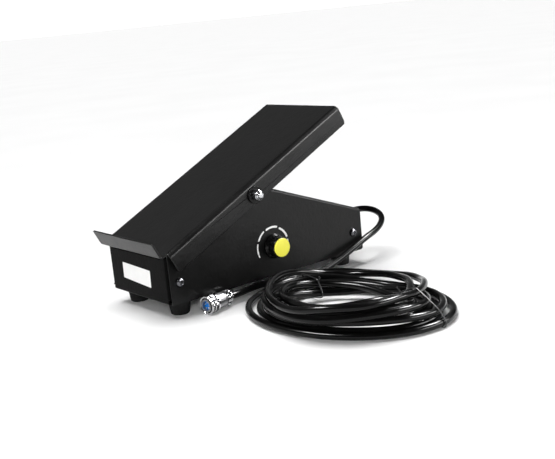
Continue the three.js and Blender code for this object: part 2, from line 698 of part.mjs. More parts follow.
function treadle() {
  const low = TREADLE_TOP - FLANGE_DEPTH;
  const bend = TREADLE_BEND - TREADLE_SHEET;
  const section = outline([
    [-TREADLE_OUT, low],
    [-TREADLE_OUT, TREADLE_TOP, TREADLE_BEND],
    [TREADLE_OUT, TREADLE_TOP, TREADLE_BEND],
    [TREADLE_OUT, low],
    [TREADLE_IN, low],
    [TREADLE_IN, UNDERSIDE, bend],
    [-TREADLE_IN, UNDERSIDE, bend],
    [-TREADLE_IN, low],
  ], 5);
  const flangeFront = -HEEL_REACH + FLANGE_SETBACK;
  const side = outline([
    [flangeFront, low, FLANGE_CORNER],
    [TOE_REACH, low, FLANGE_CORNER],
    [TOE_REACH, TREADLE_TOP + 1],
    [flangeFront, TREADLE_TOP + 1],
  ]);
  const channel = common(along(section, flangeFront, TOE_REACH), across(side, -TREADLE_OUT, TREADLE_OUT));
  const lipFace = -HEEL_REACH - LIP_OVERHANG;
  const lipTop = TREADLE_TOP + LIP_HEIGHT;
  const lipProfile = outline([
    [flangeFront + LIP_BEND, UNDERSIDE],
    [lipFace, UNDERSIDE, LIP_BEND],
    [lipFace, lipTop],
    [lipFace + TREADLE_SHEET, lipTop],
    [lipFace + TREADLE_SHEET, TREADLE_TOP, LIP_BEND - TREADLE_SHEET],
    [flangeFront + LIP_BEND, TREADLE_TOP],
  ]);
  const lipFront = outline([
    [-LIP_HALF, 0],
    [LIP_HALF, 0],
    [LIP_HALF, lipTop, LIP_CORNER],
    [-LIP_HALF, lipTop, LIP_CORNER],
  ]);
  const lip = common(
    across(lipProfile, -LIP_HALF, LIP_HALF),
    along(lipFront, lipFace - 1, flangeFront + 2 * LIP_BEND),
  );
  const hole = rod(AXLE_RADIUS + HOLE_GAP, -TREADLE_OUT - 1, TREADLE_OUT + 1, "y");
  return cut(join(channel, lip), hole);
}
add("treadle", treadle(), BLACK_PAINT, treadleGroup);

// ---------- Sector and pinion ----------
const sectorRadius = (GEAR_MODULE * SECTOR_TEETH_ROUND) / 2;
const pinionRadius = (GEAR_MODULE * PINION_TEETH) / 2;
const toothStep = (2 * Math.PI) / SECTOR_TEETH_ROUND;

// One tooth's corners about angle `at`: root, tip, tip, root, with flanks at 20 degrees.
function tooth(pitchRadius, at) {
  const half = (Math.PI * GEAR_MODULE) / 4 - GEAR_BACKLASH / 2;
  const slant = Math.tan(deg(20));
  const root = [pitchRadius - 1.2 * GEAR_MODULE, half + 1.2 * GEAR_MODULE * slant];
  const tip = [pitchRadius + 0.9 * GEAR_MODULE, half - 0.9 * GEAR_MODULE * slant];
  return [[root, -1], [tip, -1], [tip, 1], [root, 1]].map(([[radius, width], side]) => {
    const angle = at + (side * width) / radius;
    return [radius * Math.cos(angle), radius * Math.sin(angle)];
  });
}

// Drawn in the treadle's frame, so the mesh point lies at its direction less the treadle's angle.
function sector() {
  const mesh = deg(MESH_DIRECTION - TREADLE_ANGLE);
  const edge = [];
  for (let i = 0; i < SECTOR_TEETH; i += 1)
    edge.push(...tooth(sectorRadius, mesh - (SECTOR_FIRST + i + 0.5) * -toothStep));
  const last = mesh + (SECTOR_FIRST + SECTOR_TEETH) * toothStep;
  const first = mesh + SECTOR_FIRST * toothStep;
  const rim = sectorRadius - 1.2 * GEAR_MODULE;
  const polar = (radius, angle) => [radius * Math.cos(angle), radius * Math.sin(angle)];
  const [from, to] = SECTOR_FLANGE;
  const top = UNDERSIDE - GAP;
  const inner = [];
  for (let k = 0; k <= 6; k += 1)
    inner.push(polar(SECTOR_INNER_RADIUS, last + ((Math.PI - last - 2 * Math.PI) * k) / 6));
  const plate = outline([
    ...edge,
    polar(rim, last + toothStep * 0.6),
    ...inner,
    [to, top],
    [from, top],
    polar(rim, first - toothStep * 0.6),
  ]);
  const flange = block(
    [from, SECTOR_Y, top - SECTOR_THICKNESS * 0.7],
    [to, SECTOR_Y + SECTOR_FLANGE_WIDTH, top],
  );
  return join(across(plate, SECTOR_Y, SECTOR_Y + SECTOR_THICKNESS), flange);
}
add("drive_sector", sector(), ZINC, treadleGroup);

const meshAngle = deg(MESH_DIRECTION);
const gearDistance = sectorRadius + pinionRadius + GEAR_CENTRE_EXTRA;
const PINION_X = PIVOT_X + gearDistance * Math.cos(meshAngle);
const PINION_Z = PIVOT_Z + gearDistance * Math.sin(meshAngle);
const pinionMiddle = SECTOR_Y + SECTOR_THICKNESS / 2;

function pinion() {
  const edge = [];
  for (let i = 0; i < PINION_TEETH; i += 1)
    edge.push(...tooth(pinionRadius, meshAngle + Math.PI + (2 * Math.PI * i) / PINION_TEETH));
  const low = pinionMiddle - PINION_WIDTH / 2;
  const gear = across(outline(edge), low, low + PINION_WIDTH);
  return join(gear, rod(POT_SHAFT_RADIUS, low - 1, POT_BRACKET_Y + POT_BRACKET_SHEET + 6, "y"));
}
add("drive_pinion", pinion(), BRASS).position.set(PINION_X, 0, PINION_Z);

// ---------- Main potentiometer and bracket ----------
// A potentiometer with its back towards +y and its bushing through a plate at y = 0..plate.
function potentiometer(radius, depth, plate, bushing) {
  const body = [
    [0, plate + GAP + depth],
    [radius - 1, plate + GAP + depth],
    [radius, plate + GAP + depth - 1],
    [radius, plate + GAP],
    [POT_BUSHING_RADIUS, plate + GAP],
    [POT_BUSHING_RADIUS, -bushing],
    [0, -bushing],
  ];
  const lugs = [-1, 0, 1].map((i) =>
    block([i * 4 - 1, plate + GAP + 2, -radius - 6], [i * 4 + 1, plate + GAP + 3, -radius + 2]),
  );
  const bore = rod(POT_SHAFT_RADIUS + HOLE_GAP, -bushing - 1, plate + GAP + depth - 2, "y");
  return cut(join(turned(body, "y", 28), ...lugs), bore);
}

const bushingLength = POT_NUT_HEIGHT + 2 * GAP;
const mainPot = potentiometer(POT_RADIUS, POT_DEPTH, POT_BRACKET_SHEET, bushingLength);
add("main_potentiometer", mainPot, BLACK_PLASTIC).position.set(PINION_X, POT_BRACKET_Y, PINION_Z);
const potNutShape = hexNut(POT_NUT_FLATS, POT_NUT_HEIGHT, POT_BUSHING_RADIUS + HOLE_GAP);
const potNut = add("main_potentiometer_nut", potNutShape, ZINC);
potNut.position.set(PINION_X, POT_BRACKET_Y - GAP, PINION_Z);
potNut.rotation.x = Math.PI / 2;

function potBracket() {
  const low = FLOOR_TOP + GAP;
  const profile = outline([
    [POT_BRACKET_Y, low],
    [POT_BRACKET_Y + POT_BRACKET_FOOT, low],
    [POT_BRACKET_Y + POT_BRACKET_FOOT, low + POT_BRACKET_SHEET],
    [POT_BRACKET_Y + POT_BRACKET_SHEET, low + POT_BRACKET_SHEET],
    [POT_BRACKET_Y + POT_BRACKET_SHEET, PINION_Z + POT_BRACKET_WIDTH / 2],
    [POT_BRACKET_Y, PINION_Z + POT_BRACKET_WIDTH / 2],
  ]);
  const half = POT_BRACKET_WIDTH / 2;
  const face = outline([
    [PINION_X - half, low],
    [PINION_X + half, low],
    [PINION_X + half, PINION_Z + half, half * 0.8],
    [PINION_X - half, PINION_Z + half, half * 0.8],
  ]);
  const plate = common(
    along(profile, PINION_X - half, PINION_X + half),
    across(face, POT_BRACKET_Y, POT_BRACKET_Y + POT_BRACKET_FOOT),
  );
  const hole = rod(POT_BUSHING_RADIUS + HOLE_GAP, POT_BRACKET_Y - 1, POT_BRACKET_Y + 4, "y");
  return cut(plate, hole.translate(PINION_X, 0, PINION_Z));
}
add("potentiometer_bracket", potBracket(), ZINC);

// ---------- Return spring, its anchor and its hook ----------
// A tube swept along points, with a ring of `sides` corners square to the path at each point.
function sweep(points, radius, sides) {
  const corners = [];
  const index = [];
  const normal = new THREE.Vector3();
  const tangents = points.map((p, i) => {
    const before = points[Math.max(i - 1, 0)];
    const after = points[Math.min(i + 1, points.length - 1)];
    return after.clone().sub(before).normalize();
  });
  normal.set(0, 0, 1);
  if (Math.abs(tangents[0].z) > 0.9) normal.set(1, 0, 0);
  points.forEach((p, i) => {
    normal.addScaledVector(tangents[i], -normal.dot(tangents[i])).normalize();
    const side = tangents[i].clone().cross(normal);
    for (let k = 0; k < sides; k += 1) {
      const angle = (2 * Math.PI * (k + 0.5)) / sides;
      const at = p.clone().addScaledVector(normal, radius * Math.cos(angle));
      at.addScaledVector(side, radius * Math.sin(angle));
      corners.push(at.x, at.y, at.z);
    }
  });
  for (let i = 0; i < points.length - 1; i += 1)
    for (let k = 0; k < sides; k += 1) {
      const a = i * sides + k;
      const b = i * sides + ((k + 1) % sides);
      index.push(a, b, b + sides, a, b + sides, a + sides);
    }
  const last = (points.length - 1) * sides;
  for (let k = 1; k < sides - 1; k += 1) index.push(0, k + 1, k, last, last + k, last + k + 1);
  const geometry = new THREE.BufferGeometry();
  geometry.setAttribute("position", new THREE.BufferAttribute(new Float32Array(corners), 3));
  geometry.setIndex(index);
  return geometry;
}

const springLow = FLOOR_TOP + ANCHOR_HEIGHT; // top of the lower ear
const springHigh = springLow + SPRING_LENGTH; // underside of the upper ear

function returnSpring() {
  const steps = 8;
  const straight = SPRING_WIRE; // beyond each ear
  const lead = 1.2;
  const rise = SPRING_LENGTH - 2 * (straight + lead);
  const points = [springLow - SPRING_TAIL, springLow + straight].map((z) => new THREE.Vector3(0, 0, z));
  for (let i = 0; i <= SPRING_TURNS * steps; i += 1) {
    const angle = (2 * Math.PI * i) / steps;
    const z = springLow + straight + lead + (rise * i) / (SPRING_TURNS * steps);
    points.push(new THREE.Vector3(SPRING_RADIUS * Math.cos(angle), SPRING_RADIUS * Math.sin(angle), z));
  }
  points.push(new THREE.Vector3(0, 0, springHigh - straight));
  points.push(new THREE.Vector3(0, 0, springHigh + SPRING_TAIL));
  return sweep(points, SPRING_WIRE / 2, 5);
}
add("return_spring", returnSpring(), SPRING_STEEL).position.set(SPRING_X, SPRING_Y, 0);

const earHole = (low, high) =>
  rod(SPRING_WIRE / 2 + HOLE_GAP, low, high, "z", 12).translate(SPRING_X, SPRING_Y, 0);

function springAnchor() {
  const back = SPRING_X + EAR_WIDTH / 2;
  const foot = FLOOR_TOP + GAP;
  const shape = strip(
    [
      [back + EAR_WIDTH, foot + EAR_SHEET],
      [back, foot + EAR_SHEET],
      [back, springLow],
      [SPRING_X - EAR_WIDTH / 2, springLow],
    ],
    -EAR_SHEET,
  );
  return cut(
    across(shape, SPRING_Y - EAR_WIDTH / 2, SPRING_Y + EAR_WIDTH / 2),
    earHole(springLow - 5, springLow + 5),
  );
}
add("spring_anchor", springAnchor(), ZINC);

// Level ear at rest, a web up to the treadle, and a flange along the treadle's underside.
function springHook() {
  const back = SPRING_X + EAR_WIDTH / 2;
  const ear = springHigh + EAR_SHEET;
  const lift = GAP / treadleCos;
  const far = back + EAR_WIDTH;
  const shape = strip(
    [
      [SPRING_X - EAR_WIDTH / 2, ear],
      [back, ear],
      [back, undersideHeight(back) - lift],
      [far, undersideHeight(far) - lift],
    ],
    EAR_SHEET,
  );
  return cut(
    across(shape, SPRING_Y - EAR_WIDTH / 2, SPRING_Y + EAR_WIDTH / 2),
    earHole(springHigh - 5, springHigh + 5),
  );
}
add("spring_hook", springHook(), ZINC);

// ---------- Heel stops ----------
// Rubber domes on the front plate's top flange, which carry the treadle at rest.
const stopCentre = undersideHeight(STOP_X) - (STOP_RADIUS + GAP) / treadleCos;
for (const side of [-1, 1]) {
  const low = FRONT_TOP + GAP;
  const dome = [[0, low], [STOP_RADIUS, low]];
  for (let k = 0; k <= 5; k += 1) {
    const angle = (Math.PI / 2) * (k / 5);
    dome.push([STOP_RADIUS * Math.cos(angle), stopCentre + STOP_RADIUS * Math.sin(angle)]);
  }
  dome[dome.length - 1][0] = 0;
  const stop = add(`heel_stop_${sideName(side)}`, turned(dome, "z", 16), RUBBER);
  stop.position.set(STOP_X, side * STOP_HALF_SPACING, 0);
}

// ---------- Micro switch ----------
const switchLow = FLOOR_TOP + SWITCH_BASE;
const switchHigh = switchLow + SWITCH_SIZE[2];
const switchEnd = [SWITCH_X + SWITCH_SIZE[0], SWITCH_Y + SWITCH_SIZE[1]];

function microSwitch() {
  const body = block([SWITCH_X, SWITCH_Y, switchLow], [switchEnd[0], switchEnd[1], switchHigh]);
  const button = block(
    [SWITCH_X + 6, SWITCH_Y + 2, switchHigh - 1],
    [SWITCH_X + 8, switchEnd[1] - 2, switchHigh + 0.4],
  );
  const lugs = [3, 10, 17].map((x) =>
    block(
      [SWITCH_X + x - 0.8, SWITCH_Y + 2.9, switchLow - 4],
      [SWITCH_X + x + 0.8, SWITCH_Y + 3.5, switchLow + 1],
    ),
  );
  return join(body, button, ...lugs);
}
add("micro_switch", microSwitch(), BLACK_PLASTIC);

const LEVER_X = switchEnd[0] - 2;
const LEVER_Z = switchHigh + LEVER_LIFT;
const rollerX = LEVER_X - LEVER_REACH;
const rollerZ = undersideHeight(rollerX) - (LEVER_ROLLER + GAP) / treadleCos;

function switchLever() {
  const middle = SWITCH_Y + SWITCH_SIZE[1] / 2;
  const low = middle - LEVER_WIDTH / 2;
  const arm = strip([[LEVER_X, LEVER_Z + 0.5], [rollerX, rollerZ]], LEVER_SHEET);
  const roller = rod(LEVER_ROLLER, low - 0.5, low + LEVER_WIDTH + 0.5, "y").translate(rollerX, 0, rollerZ);
  const eye = rod(0.8, low, low + LEVER_WIDTH, "y", 12).translate(LEVER_X, 0, LEVER_Z);
  return join(across(arm, low, low + LEVER_WIDTH), roller, eye);
}
add("switch_lever", switchLever(), ZINC);

function switchBracket() {
  const face = switchEnd[1] + GAP;
  const low = FLOOR_TOP + GAP;
  const profile = outline([
    [face, low],
    [face + SWITCH_PLATE_FOOT, low],
    [face + SWITCH_PLATE_FOOT, low + SWITCH_PLATE],
    [face + SWITCH_PLATE, low + SWITCH_PLATE],
    [face + SWITCH_PLATE, switchHigh],
    [face, switchHigh],
  ]);
  return along(profile, SWITCH_X, switchEnd[0]);
}
add("switch_bracket", switchBracket(), ZINC);

// ---------- Current knob ----------
const knobWall = -WALL_OUT;
const knobPot = potentiometer(KNOB_POT_RADIUS, KNOB_POT_DEPTH, COVER_SHEET, bushingLength);
add("knob_potentiometer", knobPot, BLACK_PLASTIC).position.set(KNOB_X, knobWall, KNOB_Z);
const knobNutShape = hexNut(KNOB_NUT_FLATS, POT_NUT_HEIGHT, POT_BUSHING_RADIUS + HOLE_GAP);
const knobNut = add("knob_potentiometer_nut", knobNutShape, ZINC);
knobNut.position.set(KNOB_X, knobWall - GAP, KNOB_Z);
knobNut.rotation.x = Math.PI / 2;

// Shaft of the knob's potentiometer, drawn along -y from its blind end to the knob's socket.
const shaftInner = KNOB_POT_DEPTH + COVER_SHEET - 2.4;
const shaftOuter = KNOB_LIFT + KNOB_HEIGHT - 2.5;
const knobShaft = rod(POT_SHAFT_RADIUS, -shaftOuter, shaftInner, "y");
add("knob_shaft", knobShaft, ZINC).position.set(KNOB_X, knobWall, KNOB_Z);

function currentKnob() {
  const corners = [];
  for (let i = 0; i < KNOB_FLUTES; i += 1)
    [[-0.3, 0], [0.3, 0], [0.42, -0.7], [0.58, -0.7]].forEach(([part, drop]) => {
      const angle = (2 * Math.PI * (i + part)) / KNOB_FLUTES;
      const radius = KNOB_BODY_RADIUS + drop;
      corners.push([radius * Math.cos(angle), radius * Math.sin(angle)]);
    });
  const skirt = turned(
    [
      [0, 0],
      [KNOB_SKIRT_RADIUS, 0],
      [KNOB_SKIRT_RADIUS, KNOB_SKIRT * 0.4],
      [KNOB_BODY_RADIUS, KNOB_SKIRT],
      [0, KNOB_SKIRT],
    ],
    "z",
    32,
  );
  const envelope = turned(
    [
      [0, 0],
      [KNOB_BODY_RADIUS + 1, 0],
      [KNOB_BODY_RADIUS - 0.6, KNOB_HEIGHT - 0.8],
      [KNOB_BODY_RADIUS - 1.2, KNOB_HEIGHT],
      [0, KNOB_HEIGHT],
    ],
    "z",
    KNOB_FLUTES,
  );
  const fluted = common(raised(outline(corners), 0, KNOB_HEIGHT), envelope);
  const hollow = rod(KNOB_SKIRT_RADIUS - 3, -1, bushingLength + GAP + 0.6, "z");
  const socket = rod(POT_SHAFT_RADIUS + HOLE_GAP, -1, shaftOuter - KNOB_LIFT + GAP, "z");
  return cut(join(skirt, fluted), hollow, socket);
}
const knob = add("current_knob", currentKnob(), BLACK_PLASTIC);
knob.position.set(KNOB_X, knobWall - KNOB_LIFT, KNOB_Z);
knob.rotation.x = Math.PI / 2;

const capShape = turned(
  [
    [0, 0],
    [KNOB_CAP_RADIUS, 0],
    [KNOB_CAP_RADIUS, KNOB_CAP - 0.6],
    [KNOB_CAP_RADIUS - 0.6, KNOB_CAP],
    [0, KNOB_CAP + 0.3],
  ],
  "z",
  32,
);
const cap = add("knob_cap", capShape, YELLOW);
cap.position.set(KNOB_X, knobWall - KNOB_LIFT - KNOB_HEIGHT - GAP, KNOB_Z);
cap.rotation.x = Math.PI / 2;

// ---------- Gland and terminal strip ----------
const glandMouth = BASE_LENGTH + GAP + GLAND_FLANGE + GLAND_TAPER;

function gland() {
  const inner = BASE_LENGTH - PAN_SHEET - GLAND_INNER;
  const bore = CABLE_RADIUS + HOLE_GAP;
  const flange = BASE_LENGTH + GAP;
  return turned(
    [
      [bore, inner],
      [GLAND_RADIUS, inner],
      [GLAND_RADIUS, flange],
      [GLAND_FLANGE_RADIUS, flange],
      [GLAND_FLANGE_RADIUS, flange + GLAND_FLANGE - 0.8],
      [GLAND_FLANGE_RADIUS - 0.8, flange + GLAND_FLANGE],
      [CABLE_RADIUS + 2.8, flange + GLAND_FLANGE],
      [CABLE_RADIUS + 1.4, glandMouth],
      [bore, glandMouth],
      [bore, inner],
    ],
    "x",
  );
}
add("cable_gland", gland(), BLACK_PLASTIC).position.set(0, GLAND_Y, GLAND_Z);
const glandNutShape = hexNut(GLAND_NUT_FLATS, GLAND_NUT_HEIGHT, GLAND_RADIUS + HOLE_GAP);
const glandNut = add("gland_nut", glandNutShape, BLACK_PLASTIC);
glandNut.position.set(BASE_LENGTH - PAN_SHEET - GAP, GLAND_Y, GLAND_Z);
glandNut.rotation.y = -Math.PI / 2;

function terminalStrip() {
  const [length, width, height] = TERMINAL_SIZE;
  const body = block([0, -width / 2, 0], [length, width / 2, height]);
  const pitch = width / TERMINAL_POLES;
  const holes = [];
  for (let i = 0; i < TERMINAL_POLES; i += 1) {
    const y = (i - (TERMINAL_POLES - 1) / 2) * pitch;
    holes.push(rod(1.8, height - 4, height + 1, "z", 8).translate(length / 2, y, 0));
    holes.push(rod(1.5, -1, length + 1, "x", 8).translate(0, y, height * 0.35));
  }
  return cut(body, ...holes);
}
add("terminal_strip", terminalStrip(), NYLON).position.set(TERMINAL_X, 0, FLOOR_TOP + GAP);

// ---------- Coil of cable ----------
const coilTurns = COIL_LAYERS.length * COIL_LAYER_TURNS;
const coilLow = CABLE_RADIUS + TIE_THICKNESS + 2 * GAP; // centre of cable that lies on the floor
const coilRest = CABLE_DIAMETER + COIL_ROOM; // between centres of cable that lies on cable

// A layer's middle and its half sizes, the latter as the entries xx, xy and yy of a matrix.
function layerForm([x, y, long, wide, degrees]) {
  const c = Math.cos(deg(degrees));
  const s = Math.sin(deg(degrees));
  return [x, y, long * c * c + wide * s * s, (long - wide) * c * s, long * s * s + wide * c * c];
}

// The cable's centre seen from above after `turn` turns. Each layer spirals in or out at a steady rate, and
// near a reversal its form leads over to the next layer's.
function coilPlan(turn) {
  const last = COIL_LAYERS.length - 1;
  const layer = Math.min(Math.floor(turn / COIL_LAYER_TURNS), last);
  const within = turn - layer * COIL_LAYER_TURNS;
  const left = COIL_LAYER_TURNS - within;
  const drawn = layer % 2 ? left : within; // turns in from the outer turn
  let form = layerForm(COIL_LAYERS[layer]);
  const lead = (other, distance) => {
    const share = THREE.MathUtils.smoothstep(0.5 - distance / (2 * COIL_CLIMB), 0, 1);
    form = form.map((value, i) => THREE.MathUtils.lerp(value, layerForm(COIL_LAYERS[other])[i], share));
  };
  if (layer < last && left < COIL_CLIMB) lead(layer + 1, left);
  if (layer > 0 && within < COIL_CLIMB) lead(layer - 1, within);
  const angle = deg(COIL_START) + 2 * Math.PI * turn;
  const c = Math.cos(angle);
  const s = Math.sin(angle);
  const [x, y, xx, xy, yy] = form;
  const pulled = COIL_TURN_PITCH * drawn;
  return new THREE.Vector3(
    x + COIL_FAN[0] * drawn + (xx - pulled) * c + xy * s,
    y + COIL_FAN[1] * drawn + xy * c + (yy - pulled) * s,
    coilLow,
  );
}

// Lifts each point of the plan onto the cable laid before it, which starts with the free stretch `laid`.
function drape(laid, plan) {
  const line = [...laid, ...plan];
  const along = [0];
  for (let i = 1; i < line.length; i += 1)
    along.push(along[i - 1] + Math.hypot(line[i].x - line[i - 1].x, line[i].y - line[i - 1].y));
  const supports = plan.map((point, i) => {
    const found = [];
    for (let j = 0; along[j] < along[laid.length + i] - 3 * coilRest; j += 1) {
      const apart = Math.hypot(line[j].x - point.x, line[j].y - point.y);
      if (apart < coilRest) found.push([line[j], Math.sqrt(coilRest ** 2 - apart ** 2)]);
    }
    return found;
  });
  const near = (reach) =>
    plan.map((_, i) => {
      const found = [];
      for (let k = 0; k < plan.length; k += 1) {
        const apart = Math.abs(along[laid.length + k] - along[laid.length + i]);
        if (apart < reach) found.push([k, 0.5 + 0.5 * Math.cos((Math.PI * apart) / reach)]);
      }
      return found;
    });
  const climbing = near(COIL_RISE);
  const evening = near(COIL_EVEN);
  for (let change = Infinity, round = 0; change > 1e-3 && round < 30; round += 1) {
    const needed = supports.map((found) =>
      found.reduce((most, [under, lift]) => Math.max(most, under.z + lift - coilLow), 0),
    );
    const risen = climbing.map((found) =>
      found.reduce((most, [k, weight]) => Math.max(most, needed[k] * weight), 0),
    );
    change = 0;
    for (let i = 0; i < plan.length; i += COIL_PARTS) {
      const weights = evening[i].reduce((sum, [, weight]) => sum + weight, 0);
      const sum = evening[i].reduce((total, [k, weight]) => total + risen[k] * weight, 0);
      const height = coilLow + sum / weights;
      change = Math.max(change, Math.abs(height - plan[i].z));
      plan[i].z = height;
      for (let part = 1; i && part < COIL_PARTS; part += 1)
        plan[i - part].z = THREE.MathUtils.lerp(height, plan[i - COIL_PARTS].z, part / COIL_PARTS);
    }
  }
}

const finePoints = [coilPlan(0)];
for (let i = 1; i <= coilTurns * COIL_STEPS; i += 1) {
  const from = finePoints.at(-1);
  const to = coilPlan(i / COIL_STEPS);
  for (let part = 1; part <= COIL_PARTS; part += 1) finePoints.push(from.clone().lerp(to, part / COIL_PARTS));
}
const coilIn = finePoints[0].clone().sub(finePoints[1]).normalize();
const coilStart = finePoints[0].clone().addScaledVector(coilIn, COIL_LEAD);

// ---------- Free stretches of cable ----------
const freeCurve = (points) => new THREE.CatmullRomCurve3(points, false, "centripetal");

function cableTube(curve) {
  const section = polygon(CABLE_SIDES, CABLE_RADIUS);
  const steps = Math.round(curve.getLength() / CABLE_STEP);
  console.log(`cable stretch: ${curve.getLength().toFixed(1)} mm`);
  return new THREE.ExtrudeGeometry(section, { steps, bevelEnabled: false, extrudePath: curve });
}

const vector = ([x, y, z]) => new THREE.Vector3(x, y, z);
const mouth = new THREE.Vector3(glandMouth + GAP, GLAND_Y, GLAND_Z);
const mouthLead = mouth.clone().add(new THREE.Vector3(CABLE_DIAMETER, 0, 0));
const coilEntry = coilStart.clone().addScaledVector(coilIn, GAP);
const entryLead = coilEntry.clone().addScaledVector(coilIn, COIL_LEAD);
const fromGland = freeCurve([mouth, mouthLead, ...ROUTE_FROM_GLAND.map(vector), entryLead, coilEntry]);
add("cord_from_gland", cableTube(fromGland), CABLE);

drape(fromGland.getSpacedPoints(100), finePoints);
const coilPoints = finePoints.filter((_, i) => i % COIL_PARTS === 0);
const coilOut = coilPoints.at(-1).clone().sub(coilPoints.at(-2)).normalize();
coilPoints.unshift(coilStart);
coilPoints.push(coilPoints.at(-1).clone().addScaledVector(coilOut, COIL_LEAD));
const coilExit = coilPoints.at(-1).clone().addScaledVector(coilOut, GAP);
const exitLead = coilExit.clone().addScaledVector(coilOut, COIL_LEAD);
add("cord_coil", sweep(coilPoints, CABLE_RADIUS, COIL_SIDES), CABLE);

// Least gap between stretches of the coil, measured along its centre line.
function leastGap() {
  let least = Infinity;
  for (let i = 0; i < finePoints.length; i += 1)
    for (let j = i + (COIL_PARTS * COIL_STEPS) / 4; j < finePoints.length; j += 1)
      least = Math.min(least, finePoints[i].distanceTo(finePoints[j]));
  return least - CABLE_DIAMETER;
}
console.log(`coil: least gap to itself ${leastGap().toFixed(2)} mm`);

// ---------- Ties round the coil ----------
// Corners of the smallest outline that holds all the points.
function hull(points) {
  const sorted = [...points].sort((p, q) => p[0] - q[0] || p[1] - q[1]);
  const half = (list) => {
    const kept = [];
    for (const p of list) {
      for (let n = kept.length; n > 1; n = kept.length) {
        const [a, b] = [kept[n - 2], kept[n - 1]];
        if ((b[0] - a[0]) * (p[1] - a[1]) - (b[1] - a[1]) * (p[0] - a[0]) > 1e-3) break;
        kept.pop();
      }
      kept.push(p);
    }
    return kept.slice(0, -1);
  };
  return [...half(sorted), ...half(sorted.reverse())];
}

// A wire ring pulled round the cable that crosses one direction of the coil, out to `reach`.
function tieRing(degrees, reach) {
  const out = new THREE.Vector3(Math.cos(deg(degrees)), Math.sin(deg(degrees)), 0);
  const side = new THREE.Vector3(-out.y, out.x, 0);
  const middle = new THREE.Vector3(...TIE_MIDDLE, 0);
  const crossings = [];
  for (let i = 1; i < finePoints.length; i += 1) {
    const [a, b] = [finePoints[i - 1], finePoints[i]].map((point) => point.clone().sub(middle));
    const [before, after] = [a.dot(side), b.dot(side)];
    if (before * after > 0) continue;
    const at = a.lerp(b, before / (before - after));
    if (at.dot(out) > 0 && at.dot(out) < reach) crossings.push([at.dot(out), at.z]);
  }
  const floor = coilLow - CABLE_RADIUS - GAP;
  const loop = (grow) => {
    const radius = CABLE_RADIUS + TIE_SLACK + grow;
    const round = polygon(16, radius).getPoints();
    const spots = crossings.flatMap(([x, z]) =>
      round.map((p) => [x + p.x, Math.max(z + p.y, floor - grow)]),
    );
    return outline(hull(spots));
  };
  const half = TIE_WIDTH / 2;
  const band = cut(across(loop(TIE_THICKNESS), -half, half), across(loop(0), -half - 1, half + 1));
  return band.rotateZ(deg(degrees)).translate(middle.x, middle.y, 0);
}
for (const [name, [degrees, reach]] of Object.entries(TIES)) add(name, tieRing(degrees, reach), ZINC);

// ---------- Connector ----------
// Drawn along +x from its mating face, lying on its coupling ring.
const plugGroup = new THREE.Group();
plugGroup.position.set(PLUG_FRONT[0], PLUG_FRONT[1], PLUG_RING_RADIUS);
plugGroup.rotation.z = deg(PLUG_TURN);
placed.add(plugGroup);

function couplingRing() {
  const corners = [];
  for (let i = 0; i < PLUG_KNURLS; i += 1)
    [[0, 0.25], [0.5, PLUG_BAND_STEP]].forEach(([part, drop]) => {
      const angle = (2 * Math.PI * (i + part)) / PLUG_KNURLS;
      const radius = PLUG_RING_RADIUS - drop;
      corners.push([radius * Math.cos(angle), radius * Math.sin(angle)]);
    });
  const inner = PLUG_RING_RADIUS - 1.5 * PLUG_BAND_STEP;
  const chamfer = 0.5;
  const profile = [[0, 0], [PLUG_RING_RADIUS - chamfer, 0], [PLUG_RING_RADIUS, chamfer]];
  PLUG_BANDS.forEach(([start, end], i) => {
    if (i) profile.push([inner, start], [PLUG_RING_RADIUS, start]);
    profile.push([PLUG_RING_RADIUS, end], [inner, end]);
  });
  profile.push([inner, PLUG_RING_LENGTH], [0, PLUG_RING_LENGTH]);
  const knurled = along(outline(corners), PLUG_BANDS[0][0] + 1, PLUG_BANDS.at(-1)[1] - 0.5);
  const bore = rod(PLUG_RING_BORE, -1, PLUG_RING_LENGTH + 1, "x", PLUG_KNURLS);
  return cut(join(turned(profile, "x", PLUG_KNURLS), knurled), bore);
}
add("coupling_ring", couplingRing(), CHROME, plugGroup);

const CLAMP_SIDE = Math.PI / 2; // the clamp's saddle faces away from the base

function plugShell() {
  const inner = PLUG_SHELL_RADIUS - PLUG_SHELL_WALL;
  const front = PLUG_SHELL_FRONT;
  const shoulder = PLUG_RING_LENGTH + GAP;
  const [clampStart, clampEnd] = PLUG_CLAMP;
  const body = turned(
    [
      [0, PLUG_INSERT[1] + GAP],
      [inner, PLUG_INSERT[1] + GAP],
      [inner, front],
      [PLUG_SHELL_RADIUS, front],
      [PLUG_SHELL_RADIUS, shoulder],
      [PLUG_BODY_RADIUS, shoulder],
      [PLUG_BODY_RADIUS, PLUG_BODY_END - 2],
      [PLUG_BODY_RADIUS - 1, PLUG_BODY_END],
      [PLUG_NECK_RADIUS, PLUG_BODY_END],
      [PLUG_NECK_RADIUS, PLUG_LENGTH],
      [0, PLUG_LENGTH],
    ],
    "x",
  );
  const bore = rod(CABLE_RADIUS + HOLE_GAP, PLUG_BODY_END - 4, PLUG_LENGTH + 1, "x");
  const reach = PLUG_CLAMP_SCREW_SPACING + 2;
  // Lower half of the clamp, with ears for the two screws.
  const ears = block([clampStart, -reach, -2.6], [clampEnd, reach, 0]);
  const upper = block([clampStart - 1, -10, 0], [PLUG_LENGTH + 1, 10, 10]);
  const holes = [-1, 1].map((side) =>
    rod(PLUG_CLAMP_SCREW_RADIUS + HOLE_GAP, -4, 1, "z", 12).translate(
      (clampStart + clampEnd) / 2,
      side * PLUG_CLAMP_SCREW_SPACING,
      0,
    ),
  );
  return cut(join(body, ears), upper, bore, ...holes).rotateX(CLAMP_SIDE);
}
add("plug_shell", plugShell(), CHROME, plugGroup);

